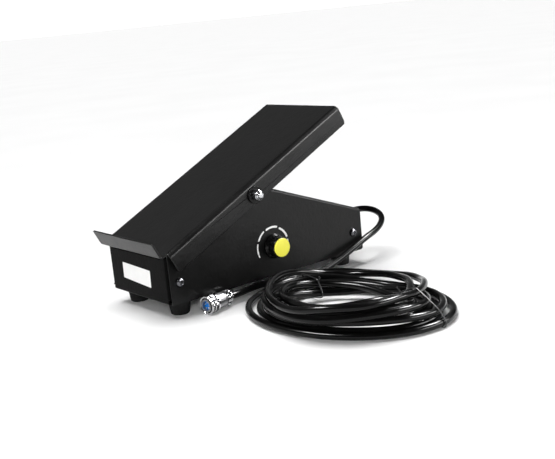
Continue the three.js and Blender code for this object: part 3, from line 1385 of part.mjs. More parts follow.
function plugInsert() {
  const [front, back] = PLUG_INSERT;
  const body = rod(PLUG_SHELL_RADIUS - PLUG_SHELL_WALL - GAP, front, back, "x");
  const holes = pinPlaces().map(([y, z]) =>
    rod(PLUG_PIN_RADIUS + HOLE_GAP, front - 1, back + 1, "x", 12).translate(0, y, z),
  );
  return cut(body, ...holes);
}

function pinPlaces() {
  const places = [];
  for (let i = 0; i < PLUG_PINS; i += 1) {
    const angle = Math.PI / 2 + (2 * Math.PI * i) / PLUG_PINS;
    places.push([PLUG_PIN_CIRCLE * Math.cos(angle), PLUG_PIN_CIRCLE * Math.sin(angle)]);
  }
  return places;
}
add("plug_insert", plugInsert(), BLUE, plugGroup);
const pinShape = turned(
  [
    [0, PLUG_PIN_TIP],
    [PLUG_PIN_RADIUS * 0.6, PLUG_PIN_TIP],
    [PLUG_PIN_RADIUS, PLUG_PIN_TIP + 0.6],
    [PLUG_PIN_RADIUS, PLUG_PIN_TAIL],
    [0, PLUG_PIN_TAIL],
  ],
  "x",
  10,
);
pinPlaces().forEach(([y, z], i) => {
  add(`plug_pin_${i + 1}`, pinShape, ZINC, plugGroup).position.set(0, y, z);
});

// Upper half of the clamp: an arch over the cable with an ear each side.
function clampSaddle() {
  const [start, end] = PLUG_CLAMP;
  const reach = PLUG_CLAMP_SCREW_SPACING + 2;
  const low = GAP;
  const arch = common(
    rod(PLUG_NECK_RADIUS, start + GAP, end, "x"),
    block([start, -10, low], [end, 10, 10]),
  );
  const ears = block([start + GAP, -reach, low], [end, reach, low + 2]);
  const bore = rod(CABLE_RADIUS + HOLE_GAP, start - 1, end + 1, "x");
  const holes = [-1, 1].map((side) =>
    rod(PLUG_CLAMP_SCREW_RADIUS + HOLE_GAP, -1, 10, "z", 12).translate(
      (start + end) / 2,
      side * PLUG_CLAMP_SCREW_SPACING,
      0,
    ),
  );
  const seats = [-1, 1].map((side) =>
    rod(2.9, low + 2, 10, "z", 16).translate((start + end) / 2, side * PLUG_CLAMP_SCREW_SPACING, 0),
  );
  return cut(join(arch, ears), bore, ...holes, ...seats);
}
add("clamp_saddle", clampSaddle(), CHROME, plugGroup).rotation.x = CLAMP_SIDE;
const clampScrewShape = panScrew(PLUG_CLAMP_SCREW_RADIUS, 2.4, 1.8, 5.5);
[-1, 1].forEach((side, i) => {
  const screw = add(`clamp_screw_${i + 1}`, clampScrewShape, ZINC, plugGroup);
  screw.position.set((PLUG_CLAMP[0] + PLUG_CLAMP[1]) / 2, -2 - 2 * GAP, side * PLUG_CLAMP_SCREW_SPACING);
  screw.rotation.x = CLAMP_SIDE;
});

// The cable's last stretch, from the coil to the back of the connector.
plugGroup.updateMatrix();
const onPlugAxis = (x) => new THREE.Vector3(x, 0, 0).applyMatrix4(plugGroup.matrix);
const plugEnd = PLUG_LENGTH + GAP;
const toPlug = freeCurve([
  coilExit,
  exitLead,
  ...ROUTE_TO_PLUG.map(vector),
  onPlugAxis(plugEnd + CABLE_DIAMETER),
  onPlugAxis(plugEnd),
]);
add("cord_to_plug", cableTube(toPlug), CABLE);

// ---------- The part's own frame ----------
// Origin under the middle of the pedal: halfway between the lip's outer edge and the rear plate.
const lipTopX =
  PIVOT_X - (HEEL_REACH + LIP_OVERHANG) * treadleCos - (TREADLE_TOP + LIP_HEIGHT) * treadleSin;
placed.position.x = -(lipTopX + BASE_LENGTH) / 2;

export default group;
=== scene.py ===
"""Looks for the foot pedal: paint, rubber, plated steel, a cable in a tied coil and a round connector.

Sizes are in millimetres, with x from the front plate, as in the part's source. at() turns a place into the
frame's metres. Angles are in degrees where nothing else is said.
"""

import bisect
import json
import math

import bmesh
import bpy
from mathutils import Matrix, Vector

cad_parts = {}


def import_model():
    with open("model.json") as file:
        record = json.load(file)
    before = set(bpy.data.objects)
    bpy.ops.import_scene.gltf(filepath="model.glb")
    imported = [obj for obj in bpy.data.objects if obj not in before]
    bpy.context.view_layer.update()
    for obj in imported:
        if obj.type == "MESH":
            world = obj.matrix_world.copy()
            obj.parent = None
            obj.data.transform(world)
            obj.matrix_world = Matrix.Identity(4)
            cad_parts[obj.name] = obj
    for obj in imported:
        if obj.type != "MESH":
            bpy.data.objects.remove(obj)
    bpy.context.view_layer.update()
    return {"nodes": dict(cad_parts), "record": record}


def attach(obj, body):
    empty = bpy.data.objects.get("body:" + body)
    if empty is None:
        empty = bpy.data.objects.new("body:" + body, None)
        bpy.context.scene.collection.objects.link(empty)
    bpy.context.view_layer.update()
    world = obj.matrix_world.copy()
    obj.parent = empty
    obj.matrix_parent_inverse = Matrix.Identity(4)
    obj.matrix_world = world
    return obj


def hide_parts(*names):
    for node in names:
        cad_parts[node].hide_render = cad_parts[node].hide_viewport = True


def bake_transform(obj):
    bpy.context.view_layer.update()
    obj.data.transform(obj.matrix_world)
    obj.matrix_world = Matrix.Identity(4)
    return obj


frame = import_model()
nodes = frame["nodes"]

SHIFT = 120.409  # from the front plate to the frame's origin
WALL = 57.0  # from the pedal's middle to the outer face of each side wall
KNOB = (131.0, 46.4)  # x and z
PLUG = (32.3, -69.0, 9.25)  # middle of the connector's mating face
PLUG_TURN = math.radians(10.5)


def at(x, y, z):
    return Vector(((x - SHIFT) / 1000, y / 1000, z / 1000))


# ---------- Camera ----------
CAMERA_PLACE = (-471.8, -861.5, 285.9)
CAMERA_AZIMUTH = 52.84
CAMERA_DOWN = 12.49  # degrees below the horizon
CAMERA_ROLL = -5.71
CAMERA_FOCUS = 992.6  # in pixels of the photograph
PHOTO_WIDTH = 555
SENSOR_WIDTH = 36


def make_camera():
    """The photograph's camera, which was fitted to the pedal's edges."""
    azimuth, down, roll = (math.radians(a) for a in (CAMERA_AZIMUTH, CAMERA_DOWN, CAMERA_ROLL))
    flat = math.cos(down)
    look = Vector((flat * math.cos(azimuth), flat * math.sin(azimuth), -math.sin(down)))
    right = look.cross(Vector((0, 0, 1))).normalized()
    up = right.cross(look)
    side = math.cos(roll) * right + math.sin(roll) * up
    top = math.cos(roll) * up - math.sin(roll) * right
    data = bpy.data.cameras.new("camera")
    data.sensor_width = SENSOR_WIDTH
    data.lens = CAMERA_FOCUS * SENSOR_WIDTH / PHOTO_WIDTH
    data.clip_start, data.clip_end = 0.01, 100
    camera = bpy.data.objects.new("camera", data)
    bpy.context.scene.collection.objects.link(camera)
    matrix = Matrix((side, top, -look)).transposed().to_4x4()
    matrix.translation = at(*CAMERA_PLACE)
    camera.matrix_world = matrix
    bpy.context.scene.camera = camera


make_camera()


# ---------- Materials ----------
class Nodes:
    """A principled material and short ways to add the textures that vary it."""

    def __init__(self, name, color, roughness, metallic=0.0, specular=0.5):
        self.material = bpy.data.materials.new(name)
        self.material.use_nodes = True
        self.tree = self.material.node_tree
        self.shader = self.tree.nodes["Principled BSDF"]
        self.shader.inputs["Base Color"].default_value = (*color, 1)
        self.shader.inputs["Roughness"].default_value = roughness
        self.shader.inputs["Metallic"].default_value = metallic
        self.shader.inputs["Specular IOR Level"].default_value = specular
        self.place = self.tree.nodes.new("ShaderNodeTexCoord")
        self.bumps = None

    def noise(self, scale, detail):
        """Noise from 0 to 1. Its scale is in features per metre."""
        node = self.tree.nodes.new("ShaderNodeTexNoise")
        node.inputs["Scale"].default_value = scale
        node.inputs["Detail"].default_value = detail
        self.tree.links.new(self.place.outputs["Object"], node.inputs["Vector"])
        return node.outputs["Fac"]

    def ramp(self, value, low, high, start, end):
        node = self.tree.nodes.new("ShaderNodeValToRGB")
        for element, color, position in zip(node.color_ramp.elements, (low, high), (start, end)):
            element.position = position
            element.color = (*color, 1)
        self.tree.links.new(value, node.inputs["Fac"])
        return node.outputs["Color"]

    def color(self, value, low, high, start=0.35, end=0.65):
        self.tree.links.new(self.ramp(value, low, high, start, end), self.shader.inputs["Base Color"])

    def rough(self, value, low, high):
        tone = self.ramp(value, (low,) * 3, (high,) * 3, 0.3, 0.7)
        self.tree.links.new(tone, self.shader.inputs["Roughness"])

    def bump(self, value, strength, height):
        """Adds a bump of the given strength and height in metres to the earlier ones."""
        node = self.tree.nodes.new("ShaderNodeBump")
        node.inputs["Strength"].default_value = strength
        node.inputs["Distance"].default_value = height
        self.tree.links.new(value, node.inputs["Height"])
        if self.bumps:
            self.tree.links.new(self.bumps, node.inputs["Normal"])
        self.bumps = node.outputs["Normal"]
        self.tree.links.new(self.bumps, self.shader.inputs["Normal"])


# A gloss varies on one side of about 0.275: the denoiser leaves dark spots where it crosses that.
def powder_coat(name, tone, specular):
    m = Nodes(name, (tone, tone, tone * 1.05), 0.3, specular=specular)
    m.color(m.noise(14, 6), (tone * 0.75,) * 3, (tone * 1.25,) * 3)
    m.rough(m.noise(35, 5), 0.285, 0.34)
    m.bump(m.noise(900, 1), 0.05, 0.0003)
    m.bump(m.noise(330, 1), 0.28, 0.0004)
    m.bump(m.noise(70, 2), 0.3, 0.0006)
    return m.material


def cable_jacket():
    m = Nodes("cable_jacket", (0.002, 0.002, 0.002), 0.16, specular=0.17)
    m.color(m.noise(60, 3), (0.0015, 0.0015, 0.0015), (0.003, 0.003, 0.003))
    m.rough(m.noise(150, 3), 0.15, 0.24)
    m.bump(m.noise(260, 2), 0.06, 0.0004)
    return m.material


def rubber():
    m = Nodes("foot_rubber", (0.006, 0.006, 0.006), 0.75, specular=0.2)
    m.color(m.noise(90, 4), (0.004, 0.004, 0.004), (0.009, 0.009, 0.009))
    m.rough(m.noise(200, 3), 0.62, 0.85)
    m.bump(m.noise(1800, 2), 0.25, 0.0002)
    return m.material


def plated(name, color, roughness, scale=220, bump=0.05):
    """A metal surface whose colour and gloss vary at that scale, with a finer bump."""
    m = Nodes(name, color, roughness, metallic=1)
    dark = tuple(c * 0.86 for c in color)
    m.color(m.noise(scale, 5), dark, color, 0.3, 0.7)
    m.rough(m.noise(scale * 1.7, 4), roughness * 0.75, roughness * 1.3)
    m.bump(m.noise(scale * 4, 3), bump, 0.0002)
    return m.material


def plastic(name, color, roughness, spread=0.12, specular=0.5):
    """A moulded surface. Its colour varies by spread, a share of the colour each way."""
    m = Nodes(name, color, roughness, specular=specular)
    low, high = (tuple(min(c * k, 1) for c in color) for k in (1 - spread, 1 + spread))
    m.color(m.noise(90, 4), low, high)
    m.rough(m.noise(300, 3), roughness * 0.85, roughness * 1.15)
    m.bump(m.noise(1200, 2), 0.05, 0.0002)
    return m.material


PAINT = powder_coat("powder_coat", 0.002, 0.265)
PAN_PAINT = powder_coat("pan_powder_coat", 0.002, 0.02)
COVER_PAINT = powder_coat("cover_powder_coat", 0.002, 0.22)
CABLE = cable_jacket()
RUBBER = rubber()
ZINC = plated("zinc_plate", (0.6, 0.61, 0.63), 0.2)
DARK_STEEL = plated("dark_steel", (0.14, 0.14, 0.15), 0.2)
SHELL = plated("satin_nickel", (0.36, 0.36, 0.37), 0.4, 90, 0.03)
# A darker copy of the ring's nickel for its knurled bands: painted shade of their grooves.
KNURL_SHADE_NICKEL = plated("knurled_nickel_painted_shade", (0.12, 0.12, 0.125), 0.2)
STEEL = plated("spring_steel", (0.45, 0.46, 0.48), 0.38)
CHROME = plated("nickel_plate", (0.75, 0.75, 0.76), 0.1, 90, 0.03)
BRASS = plated("machined_brass", (0.74, 0.55, 0.25), 0.2)
PIN = plated("pin_plate", (0.95, 0.94, 0.9), 0.4)
NYLON = plastic("natural_nylon", (0.76, 0.73, 0.66), 0.45)
BLACK = plastic("black_moulding", (0.008, 0.008, 0.009), 0.35)
TIE = plastic("tie_wire", (0.01, 0.01, 0.011), 0.35, specular=0.3)
KNOB_BLACK = plastic("knob_black", (0.003, 0.003, 0.003), 0.22, specular=0.2)
YELLOW = plastic("yellow_cap", (0.98, 0.93, 0.08), 0.34, spread=0.02)
BLUE = plastic("blue_insert", (0.002, 0.15, 0.55), 0.34, spread=0.08)
WHITE = plastic("white_print", (0.86, 0.86, 0.85), 0.5, spread=0.02)

SLOT_MATERIAL = {
    "black_paint": PAINT,
    "foot_rubber": RUBBER,
    "zinc": ZINC,
    "spring_steel": STEEL,
    "brass": BRASS,
    "nylon": NYLON,
    "black_plastic": BLACK,
    "yellow_cap": YELLOW,
    "cable_jacket": CABLE,
    "chrome": CHROME,
    "blue_insert": BLUE,
}


# ---------- Making pieces ----------
def mesh_object(name, verts, faces, material, smooth_angle=35):
    """A piece from its corners and faces. Edges sharper than the angle, in degrees, stay sharp."""
    mesh = bpy.data.meshes.new(name)
    mesh.from_pydata([tuple(v) for v in verts], [], faces)
    shape = bmesh.new()
    shape.from_mesh(mesh)
    bmesh.ops.remove_doubles(shape, verts=shape.verts, dist=1e-7)
    bmesh.ops.recalc_face_normals(shape, faces=shape.faces)
    shape.to_mesh(mesh)
    shape.free()
    mesh.polygons.foreach_set("use_smooth", [True] * len(mesh.polygons))
    mesh.set_sharp_from_angle(angle=math.radians(smooth_angle))
    obj = bpy.data.objects.new(name, mesh)
    bpy.context.scene.collection.objects.link(obj)
    mesh.materials.append(material)
    return obj


def revolve(name, profile, place, axis, material, steps, wave=None, smooth_angle=35):
    """A turned piece with a level axis. Its closed profile holds (radius, distance along the axis).

    wave(radius, distance, angle) may change a point's radius.
    """
    axis = Vector(axis).normalized()
    first = axis.cross(Vector((0, 0, 1))).normalized()
    second = axis.cross(first)
    verts, faces = [], []
    for radius, distance in profile:
        for k in range(steps):
            angle = 2 * math.pi * k / steps
            r = wave(radius, distance, angle) if wave else radius
            out = first * math.cos(angle) + second * math.sin(angle)
            verts.append(place + (axis * distance + out * r) / 1000)
    for i in range(len(profile) - 1):
        for k in range(steps):
            a, b = i * steps + k, i * steps + (k + 1) % steps
            faces.append((a, b, b + steps, a + steps))
    return mesh_object(name, verts, faces, material, smooth_angle)


def tube(name, points, radius, material, resolution):
    """A round curve through the points, with its radius in mm."""
    data = bpy.data.curves.new(name, "CURVE")
    data.dimensions = "3D"
    data.bevel_depth = radius / 1000
    data.bevel_resolution = resolution
    data.use_fill_caps = True
    spline = data.splines.new("POLY")
    spline.points.add(len(points) - 1)
    spline.points.foreach_set("co", [c for p in points for c in (*p, 1)])
    spline.use_smooth = True
    obj = bpy.data.objects.new(name, data)
    bpy.context.scene.collection.objects.link(obj)
    data.materials.append(material)
    return obj


def to_mesh(obj):
    """Turns a curve into a mesh."""
    depsgraph = bpy.context.evaluated_depsgraph_get()
    mesh = bpy.data.meshes.new_from_object(obj.evaluated_get(depsgraph))
    name = obj.name
    bpy.data.objects.remove(obj)
    made = bpy.data.objects.new(name, mesh)
    bpy.context.scene.collection.objects.link(made)
    return made


def soften(obj, width, angle, segments, clamp=True):
    """Small rounded edges, which catch the light. Their width is in mm."""
    bevel = obj.modifiers.new("edges", "BEVEL")
    bevel.width = width / 1000
    bevel.segments = segments
    bevel.limit_method = "ANGLE"
    bevel.angle_limit = math.radians(angle)
    bevel.use_clamp_overlap = clamp
    bevel.miter_outer = "MITER_ARC"
    normal = obj.modifiers.new("normals", "WEIGHTED_NORMAL")
    normal.keep_sharp = False
    normal.weight = 60


def dress(name, material, width, segments, clamp):
    """Gives a CAD node its material and softened edges."""
    obj = nodes[name]
    obj.data.materials.clear()
    obj.data.materials.append(material)
    for attribute in ("custom_normal", "sharp_edge", "sharp_face"):
        if attribute in obj.data.attributes:
            obj.data.attributes.remove(obj.data.attributes[attribute])
    obj.data.polygons.foreach_set("use_smooth", [True] * len(obj.data.polygons))
    weld = obj.modifiers.new("weld", "WELD")
    weld.merge_threshold = 1e-6
    soften(obj, width, 30, segments, clamp)


# ---------- Cable ----------
CABLE_RADIUS = 3.5
# The points of each stretch are those of the part's source.
ROUTE_FROM_GLAND = [
    (294.6, -9.8, 47.9),
    (302.2, -15.6, 47.6),
    (306.2, -24.4, 45.9),
    (305.8, -34.2, 42.6),
    (300.2, -43, 38.8),
    (290.4, -50.2, 35.2),
    (277, -56.2, 31.8),
    (257, -61, 28),
    (234, -64, 21.3),
    (210, -65.6, 13.8),
    (188, -66.5, 8.5),
    (168, -67, 5.6),
    (150, -67, 4.9),
]
ROUTE_TO_PLUG = [(113, -71.4, 13.2), (103.5, -67.6, 13.4), (93.5, -64, 12), (83, -61.7, 10.1)]
# Each layer of the coil: middle x and y, half length, half width, degrees from +X to its length.
COIL_LAYERS = (
    (124.5, -178, 111, 86, 98),
    (117, -185.5, 98, 77, 98),
    (108, -195, 84, 70, 98),
    (123, -170.5, 109, 81, 52),
)
COIL_LAYER_TURNS = 2
COIL_TURN_PITCH = 12.5  # drop in the half sizes per turn
COIL_FAN = (-3.6, -2.9)  # shift of the middle per turn, which packs one side and spreads the other
COIL_CLIMB = 0.38  # turns on each side of a reversal that lead over to the next layer
COIL_REST = 8.1  # between the centres of a cable and the cable it lies on
COIL_RISE = 100  # length of cable that climbs onto cable below
COIL_EVEN = 30  # half the length that its height is evened out over
COIL_STEPS = 24  # per turn
COIL_PARTS = 4  # parts of a step that its height is worked out for
COIL_LOW = 4.9  # height of the lowest turn's centre
COIL_LEAD = 7  # straight length at each end
MOUTH = Vector((278.6, -8, 47.5))
GLAND_DEPTH = 6  # from the mouth back to the cable's hidden start
PLUG_ENTRY = (40.3, 33.3, 27)  # the cable's last points, along the connector's axis from its mating face
LINE_STEP = 2.5


def layer_form(layer):
    """A layer's middle and its half sizes, the latter as the entries xx, xy and yy of a matrix."""
    x, y, long, wide, degrees = layer
    c, s = math.cos(math.radians(degrees)), math.sin(math.radians(degrees))
    return [x, y, long * c * c + wide * s * s, (long - wide) * c * s, long * s * s + wide * c * c]


def coil_plan(turn):
    """The cable's centre after that many turns, all on the floor.

    Each layer spirals in or out, and near a reversal its form leads over to the next layer's.
    """
    last = len(COIL_LAYERS) - 1
    layer = min(int(turn / COIL_LAYER_TURNS + 1e-9), last)
    within = turn - layer * COIL_LAYER_TURNS
    left = COIL_LAYER_TURNS - within
    drawn = left if layer % 2 else within
    form = layer_form(COIL_LAYERS[layer])
    other, distance = None, 0
    if layer < last and left < COIL_CLIMB:
        other, distance = layer + 1, left
    if layer > 0 and within < COIL_CLIMB:
        other, distance = layer - 1, within
    if other is not None:
        share = 0.5 - distance / (2 * COIL_CLIMB)
        share = share * share * (3 - 2 * share)
        form = [a + (b - a) * share for a, b in zip(form, layer_form(COIL_LAYERS[other]))]
    angle = math.pi / 2 + 2 * math.pi * turn
    c, s = math.cos(angle), math.sin(angle)
    x, y, xx, xy, yy = form
    pulled = COIL_TURN_PITCH * drawn
    return Vector(
        (
            x + COIL_FAN[0] * drawn + (xx - pulled) * c + xy * s,
            y + COIL_FAN[1] * drawn + xy * c + (yy - pulled) * s,
            COIL_LOW,
        )
    )


def catmull(points, step=3.0):
    """Points along a centripetal Catmull-Rom curve through points."""
    line = [2 * points[0] - points[1], *points, 2 * points[-1] - points[-2]]
    out = []
    for i in range(1, len(line) - 2):
        p0, p1, p2, p3 = line[i - 1 : i + 3]
        d0, d1, d2 = (max((b - a).length, 1e-6) ** 0.5 for a, b in ((p0, p1), (p1, p2), (p2, p3)))
        t1 = ((p1 - p0) / d0 - (p2 - p0) / (d0 + d1) + (p2 - p1) / d1) * d1
        t2 = ((p2 - p1) / d1 - (p3 - p1) / (d1 + d2) + (p3 - p2) / d2) * d1
        count = max(2, round((p2 - p1).length / step))
        for k in range(count):
            t = k / count
            rest = (3 * (p2 - p1) - 2 * t1 - t2) * t**2 + (2 * (p1 - p2) + t1 + t2) * t**3
            out.append(p1 + t1 * t + rest)
    out.append(points[-1].copy())
    return out


def drape(laid, plan):
    """Lifts each point of the plan onto the cable laid before it, which starts with the stretch laid."""
    line = [*laid, *plan]
    along = [0.0]
    for a, b in zip(line, line[1:]):
        along.append(along[-1] + math.hypot(b.x - a.x, b.y - a.y))
    own = along[len(laid) :]
    supports = []
    for point, here in zip(plan, own):
        found = []
        for under, there in zip(line, along):
            if there >= here - 3 * COIL_REST:
                break
            apart = math.hypot(under.x - point.x, under.y - point.y)
            if apart < COIL_REST:
                found.append((under, math.sqrt(COIL_REST**2 - apart**2)))
        supports.append(found)

    def near(reach):
        weights = []
        for here in own:
            low, high = bisect.bisect(own, here - reach), bisect.bisect(own, here + reach)
            angles = ((k, math.pi * (own[k] - here) / reach) for k in range(low, high))
            cosines = ((k, 0.5 + 0.5 * math.cos(angle)) for k, angle in angles)
            weights.append([pair for pair in cosines if pair[1] > 0])
        return weights

    climbing, evening = near(COIL_RISE), near(COIL_EVEN)
    for _ in range(30):
        needed = [max([under.z + lift - COIL_LOW for under, lift in found] + [0]) for found in supports]
        risen = [max(needed[k] * weight for k, weight in found) for found in climbing]
        change = 0
        for i in range(0, len(plan), COIL_PARTS):
            total = sum(weight for _, weight in evening[i])
            height = COIL_LOW + sum(risen[k] * weight for k, weight in evening[i]) / total
            change = max(change, abs(height - plan[i].z))
            plan[i].z = height
            if i:
                for part in range(1, COIL_PARTS):
                    share = part / COIL_PARTS
                    plan[i - part].z = height + (plan[i - COIL_PARTS].z - height) * share
        if change < 1e-3:
            break


def on_plug(x):
    """A point on the connector's axis, x from the mating face."""
    return Vector((PLUG[0] + x * math.cos(PLUG_TURN), PLUG[1] + x * math.sin(PLUG_TURN), PLUG[2]))


def cable_line():
    """The cable's centre line in mm: out of the gland, round the coil and into the connector."""
    plan = [coil_plan(0)]
    for i in range(1, len(COIL_LAYERS) * COIL_LAYER_TURNS * COIL_STEPS + 1):
        start, end = plan[-1], coil_plan(i / COIL_STEPS)
        plan += [start.lerp(end, part / COIL_PARTS) for part in range(1, COIL_PARTS + 1)]
    back = (plan[0] - plan[1]).normalized()
    first = [MOUTH, MOUTH + Vector((COIL_LEAD, 0, 0)), *map(Vector, ROUTE_FROM_GLAND)]
    first += [plan[0] + back * (2 * COIL_LEAD), plan[0] + back * COIL_LEAD]
    drape(catmull(first), plan)
    coil = plan[::COIL_PARTS]
    ahead = (coil[-1] - coil[-2]).normalized()
    last = [coil[-1] + ahead * COIL_LEAD, coil[-1] + ahead * (2 * COIL_LEAD), *map(Vector, ROUTE_TO_PLUG)]
    ends = [on_plug(x) for x in PLUG_ENTRY]
    return catmull([MOUTH - Vector((GLAND_DEPTH, 0, 0)), *first, *coil, *last, *ends], LINE_STEP)


line = cable_line()
cable = tube("cable", [at(*p) for p in line], CABLE_RADIUS, CABLE, 5)
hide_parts("cord_from_gland", "cord_coil", "cord_to_plug")
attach(cable, "base")


# ---------- Ties ----------
TIE_MIDDLE = Vector((118, -180, 0))
# Piece, node, degrees from the middle to it, and how far out it reaches.
TIES = (("tie_right_band", "tie_right", -80, 120), ("tie_left_band", "tie_left", 81, 90))
TIE_CLEARANCE = 1.3  # from the cable's surface to the wire's middle
TIE_UNDER = 0.7  # from the lowest cable's underside down to the wire's middle
TIE_HALF_WIDTH = 0.75
TIE_HALF_THICK = 0.3
TWIST_WIRE = 0.36  # radius
TWIST_SPREAD = 0.42
TWIST_TURNS = 2.5
TWIST_LENGTH = 6
TWIST_STEPS = 40


def hull(points):
    """The corners of the smallest outline that holds all the points."""
    points = sorted(points)

    def half(source):
        kept = []
        for p in source:
            while len(kept) > 1:
                (ax, ay), (bx, by) = kept[-2:]
                if (bx - ax) * (p[1] - ay) - (by - ay) * (p[0] - ax) > 1e-3:
                    break
                kept.pop()
            kept.append(p)
        return kept[:-1]

    return half(points) + half(points[::-1])


def tie_loop(out, side, reach):
    """The wire's loop round the cable that crosses one direction, as (distance out, height)."""
    crossings = []
    for a, b in zip(line, line[1:]):
        before, after = (a - TIE_MIDDLE).dot(side), (b - TIE_MIDDLE).dot(side)
        if before * after > 0 or before == after:
            continue
        spot = a.lerp(b, before / (before - after)) - TIE_MIDDLE
        if 0 < spot.dot(out) < reach:
            crossings.append((spot.dot(out), spot.z))
    radius = CABLE_RADIUS + TIE_CLEARANCE
    lowest = COIL_LOW - CABLE_RADIUS - TIE_UNDER
    spots = []
    for x, z in crossings:
        for k in range(24):
            angle = math.pi * k / 12
            spots.append((x + radius * math.cos(angle), max(z + radius * math.sin(angle), lowest)))
    return [Vector(p) for p in hull(spots)]


def tie(name, degrees, reach):
    """A flat wire pulled round the coil and its two twisted ends."""
    out = Vector((math.cos(math.radians(degrees)), math.sin(math.radians(degrees)), 0))
    side = Vector((-out.y, out.x, 0))
    loop = tie_loop(out, side, reach)

    def place(x, z, aside):
        return at(*(TIE_MIDDLE + out * x + Vector((0, 0, z)) + side * aside))

    verts, faces = [], []
    half, thick = TIE_HALF_WIDTH, TIE_HALF_THICK
    crown = 1.5 * thick
    section = [(-half, -thick), (0, -crown), (half, -thick), (half, thick), (0, crown), (-half, thick)]
    n, m = len(loop), len(section)
    for i, spot in enumerate(loop):
        along = (loop[(i + 1) % n] - loop[i - 1]).normalized()
        normal = Vector((along.y, -along.x))
        for wide, lift in section:
            verts.append(place(spot.x + normal.x * lift, spot.y + normal.y * lift, wide))
    for i in range(n):
        j = (i + 1) % n
        faces += [(m * i + k, m * i + (k + 1) % m, m * j + (k + 1) % m, m * j + k) for k in range(m)]
    band = mesh_object(name, verts, faces, TIE, 40)
    soften(band, 0.12, 40, 2)

    # The twist leaves the loop's inner top corner and leans inwards.
    start = max(loop, key=lambda p: p.y - p.x)
    way = Vector((-1, 0.45)).normalized()
    cross = Vector((-way.y, way.x))
    wires = []
    for strand in (0, 1):
        points = []
        for k in range(TWIST_STEPS + 1):
            t = k / TWIST_STEPS
            angle = 2 * math.pi * TWIST_TURNS * t + math.pi * strand
            spread = TWIST_SPREAD + (1.6 * (t - 0.75) if t > 0.75 else 0)
            spot = start + way * (TWIST_LENGTH * t) + cross * (spread * math.cos(angle) - 2 * t * t)
            points.append(place(spot.x, spot.y, spread * math.sin(angle)))
        wire = to_mesh(tube(f"{name}_twist_{strand + 1}", points, TWIST_WIRE, TIE, 2))
        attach(wire, "base")
        wires.append(wire)
    return band, wires


ties, twists = [], []
for tie_name, tie_node, tie_degrees, tie_reach in TIES:
    band, wires = tie(tie_name, tie_degrees, tie_reach)
    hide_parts(tie_node)
    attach(band, "base")
    ties.append(band)
    twists += wires


# ---------- Steel, paint and rubber of the CAD nodes ----------
NODE_MATERIAL = {
    "base_pan": PAN_PAINT,
    "side_cover": COVER_PAINT,
    "pivot_washer_near": KNOB_BLACK,
    "pivot_washer_far": KNOB_BLACK,
    "current_knob": KNOB_BLACK,
    "plug_shell": SHELL,
    **{f"plug_pin_{i}": PIN for i in range(1, 6)},
}
EDGE = {"base_pan": 0.35, "side_cover": 0.35, "treadle": 0.8, "pivot_nut_near": 0.3, "pivot_nut_far": 0.3}
OTHER_EDGE = 0.2

slots = {part["node"]: part["material_slot"] for part in frame["record"]["subparts"]}
for node_name in nodes:
    if nodes[node_name].hide_render:
        continue
    material = NODE_MATERIAL.get(node_name, SLOT_MATERIAL[slots[node_name]])
    # The treadle's folds are rolled rounder. Clamped, its fine corner arcs would hold the width back.
    rolled = node_name == "treadle"
    dress(node_name, material, EDGE.get(node_name, OTHER_EDGE), 4 if rolled else 2, not rolled)
# Its reflection would draw a yellow line along the strands of the coil, and the photograph shows none.
nodes["knob_cap"].visible_glossy = False


# ---------- Connector's knurled ring ----------
RING_PROFILE = (  # radius, distance from the mating face
    *((7.9, 3.0), (7.9, 0.2), (8.1, 0.0), (9.0, 0.0), (9.25, 0.25), (9.25, 1.9), (9.0, 2.2)),
    *((8.7, 2.3), (8.7, 4.3), (9.0, 4.4), (9.25, 4.6), (9.25, 5.4), (9.0, 5.6), (8.3, 5.7), (8.3, 6.3)),
    *((8.8, 6.4), (8.8, 9.5), (9.0, 9.6), (9.25, 9.8), (9.25, 10.8), (9.0, 11.0), (8.3, 11.2)),
    *((8.3, 12.7), (8.1, 13.0), (7.9, 13.0), (7.9, 3.0)),
)
RING_STEPS = 320
PLAIN_BANDS = ((-0.05, 2.25), (4.35, 5.65), (9.55, 11.05))
# The knurled bands, whose darker nickel is painted shade.
PAINTED_SHADE_BANDS = ((2.25, 4.35), (5.65, 9.55))
KNURLS = 40
KNURL_FOOT = 8.4  # radius that the knurls stop at
KNURL_DEPTH = 0.45


def ring_wave(radius, distance, angle):
    if radius < KNURL_FOOT or any(start <= distance <= end for start, end in PLAIN_BANDS):
        return radius
    return radius - KNURL_DEPTH * (0.5 + 0.5 * math.cos(KNURLS * angle)) ** 0.7


def coupling_ring():
    """The ring that screws onto the socket: bright plain bands, and knurled ones in a darker nickel that
    paints the shade of their grooves.
    """
    front = at(*PLUG)
    axis = Vector((math.cos(PLUG_TURN), math.sin(PLUG_TURN), 0))
    ring = revolve("coupling_ring_knurled", RING_PROFILE, front, axis, CHROME, RING_STEPS, ring_wave, 30)
    # Darker nickel on the knurled bands: painted shade.
    ring.data.materials.append(KNURL_SHADE_NICKEL)
    for face in ring.data.polygons:
        distance = (face.center - front).dot(axis) * 1000
        if any(start < distance < end for start, end in PAINTED_SHADE_BANDS):
            face.material_index = 1
    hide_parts("coupling_ring")
    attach(ring, "plug_ring")
    return ring


ring = coupling_ring()


# ---------- Dial marks round the knob ----------
DIAL_STEPS = 14
DIAL_CORNER = 0.25  # how far the corners of each stroke are cut back
DIAL = (  # start and end in degrees, radius of the middle, thickness at the start and at the end
    (204.3, 162.9, 21.0, 1.3, 1.6),
    (155.5, 121.7, 20.6, 1.6, 1.9),
    (114.5, 70.6, 20.0, 1.9, 2.2),
    (62.9, 17.5, 19.2, 2.2, 2.4),
    (10.0, -24.3, 18.7, 2.4, 2.6),
)


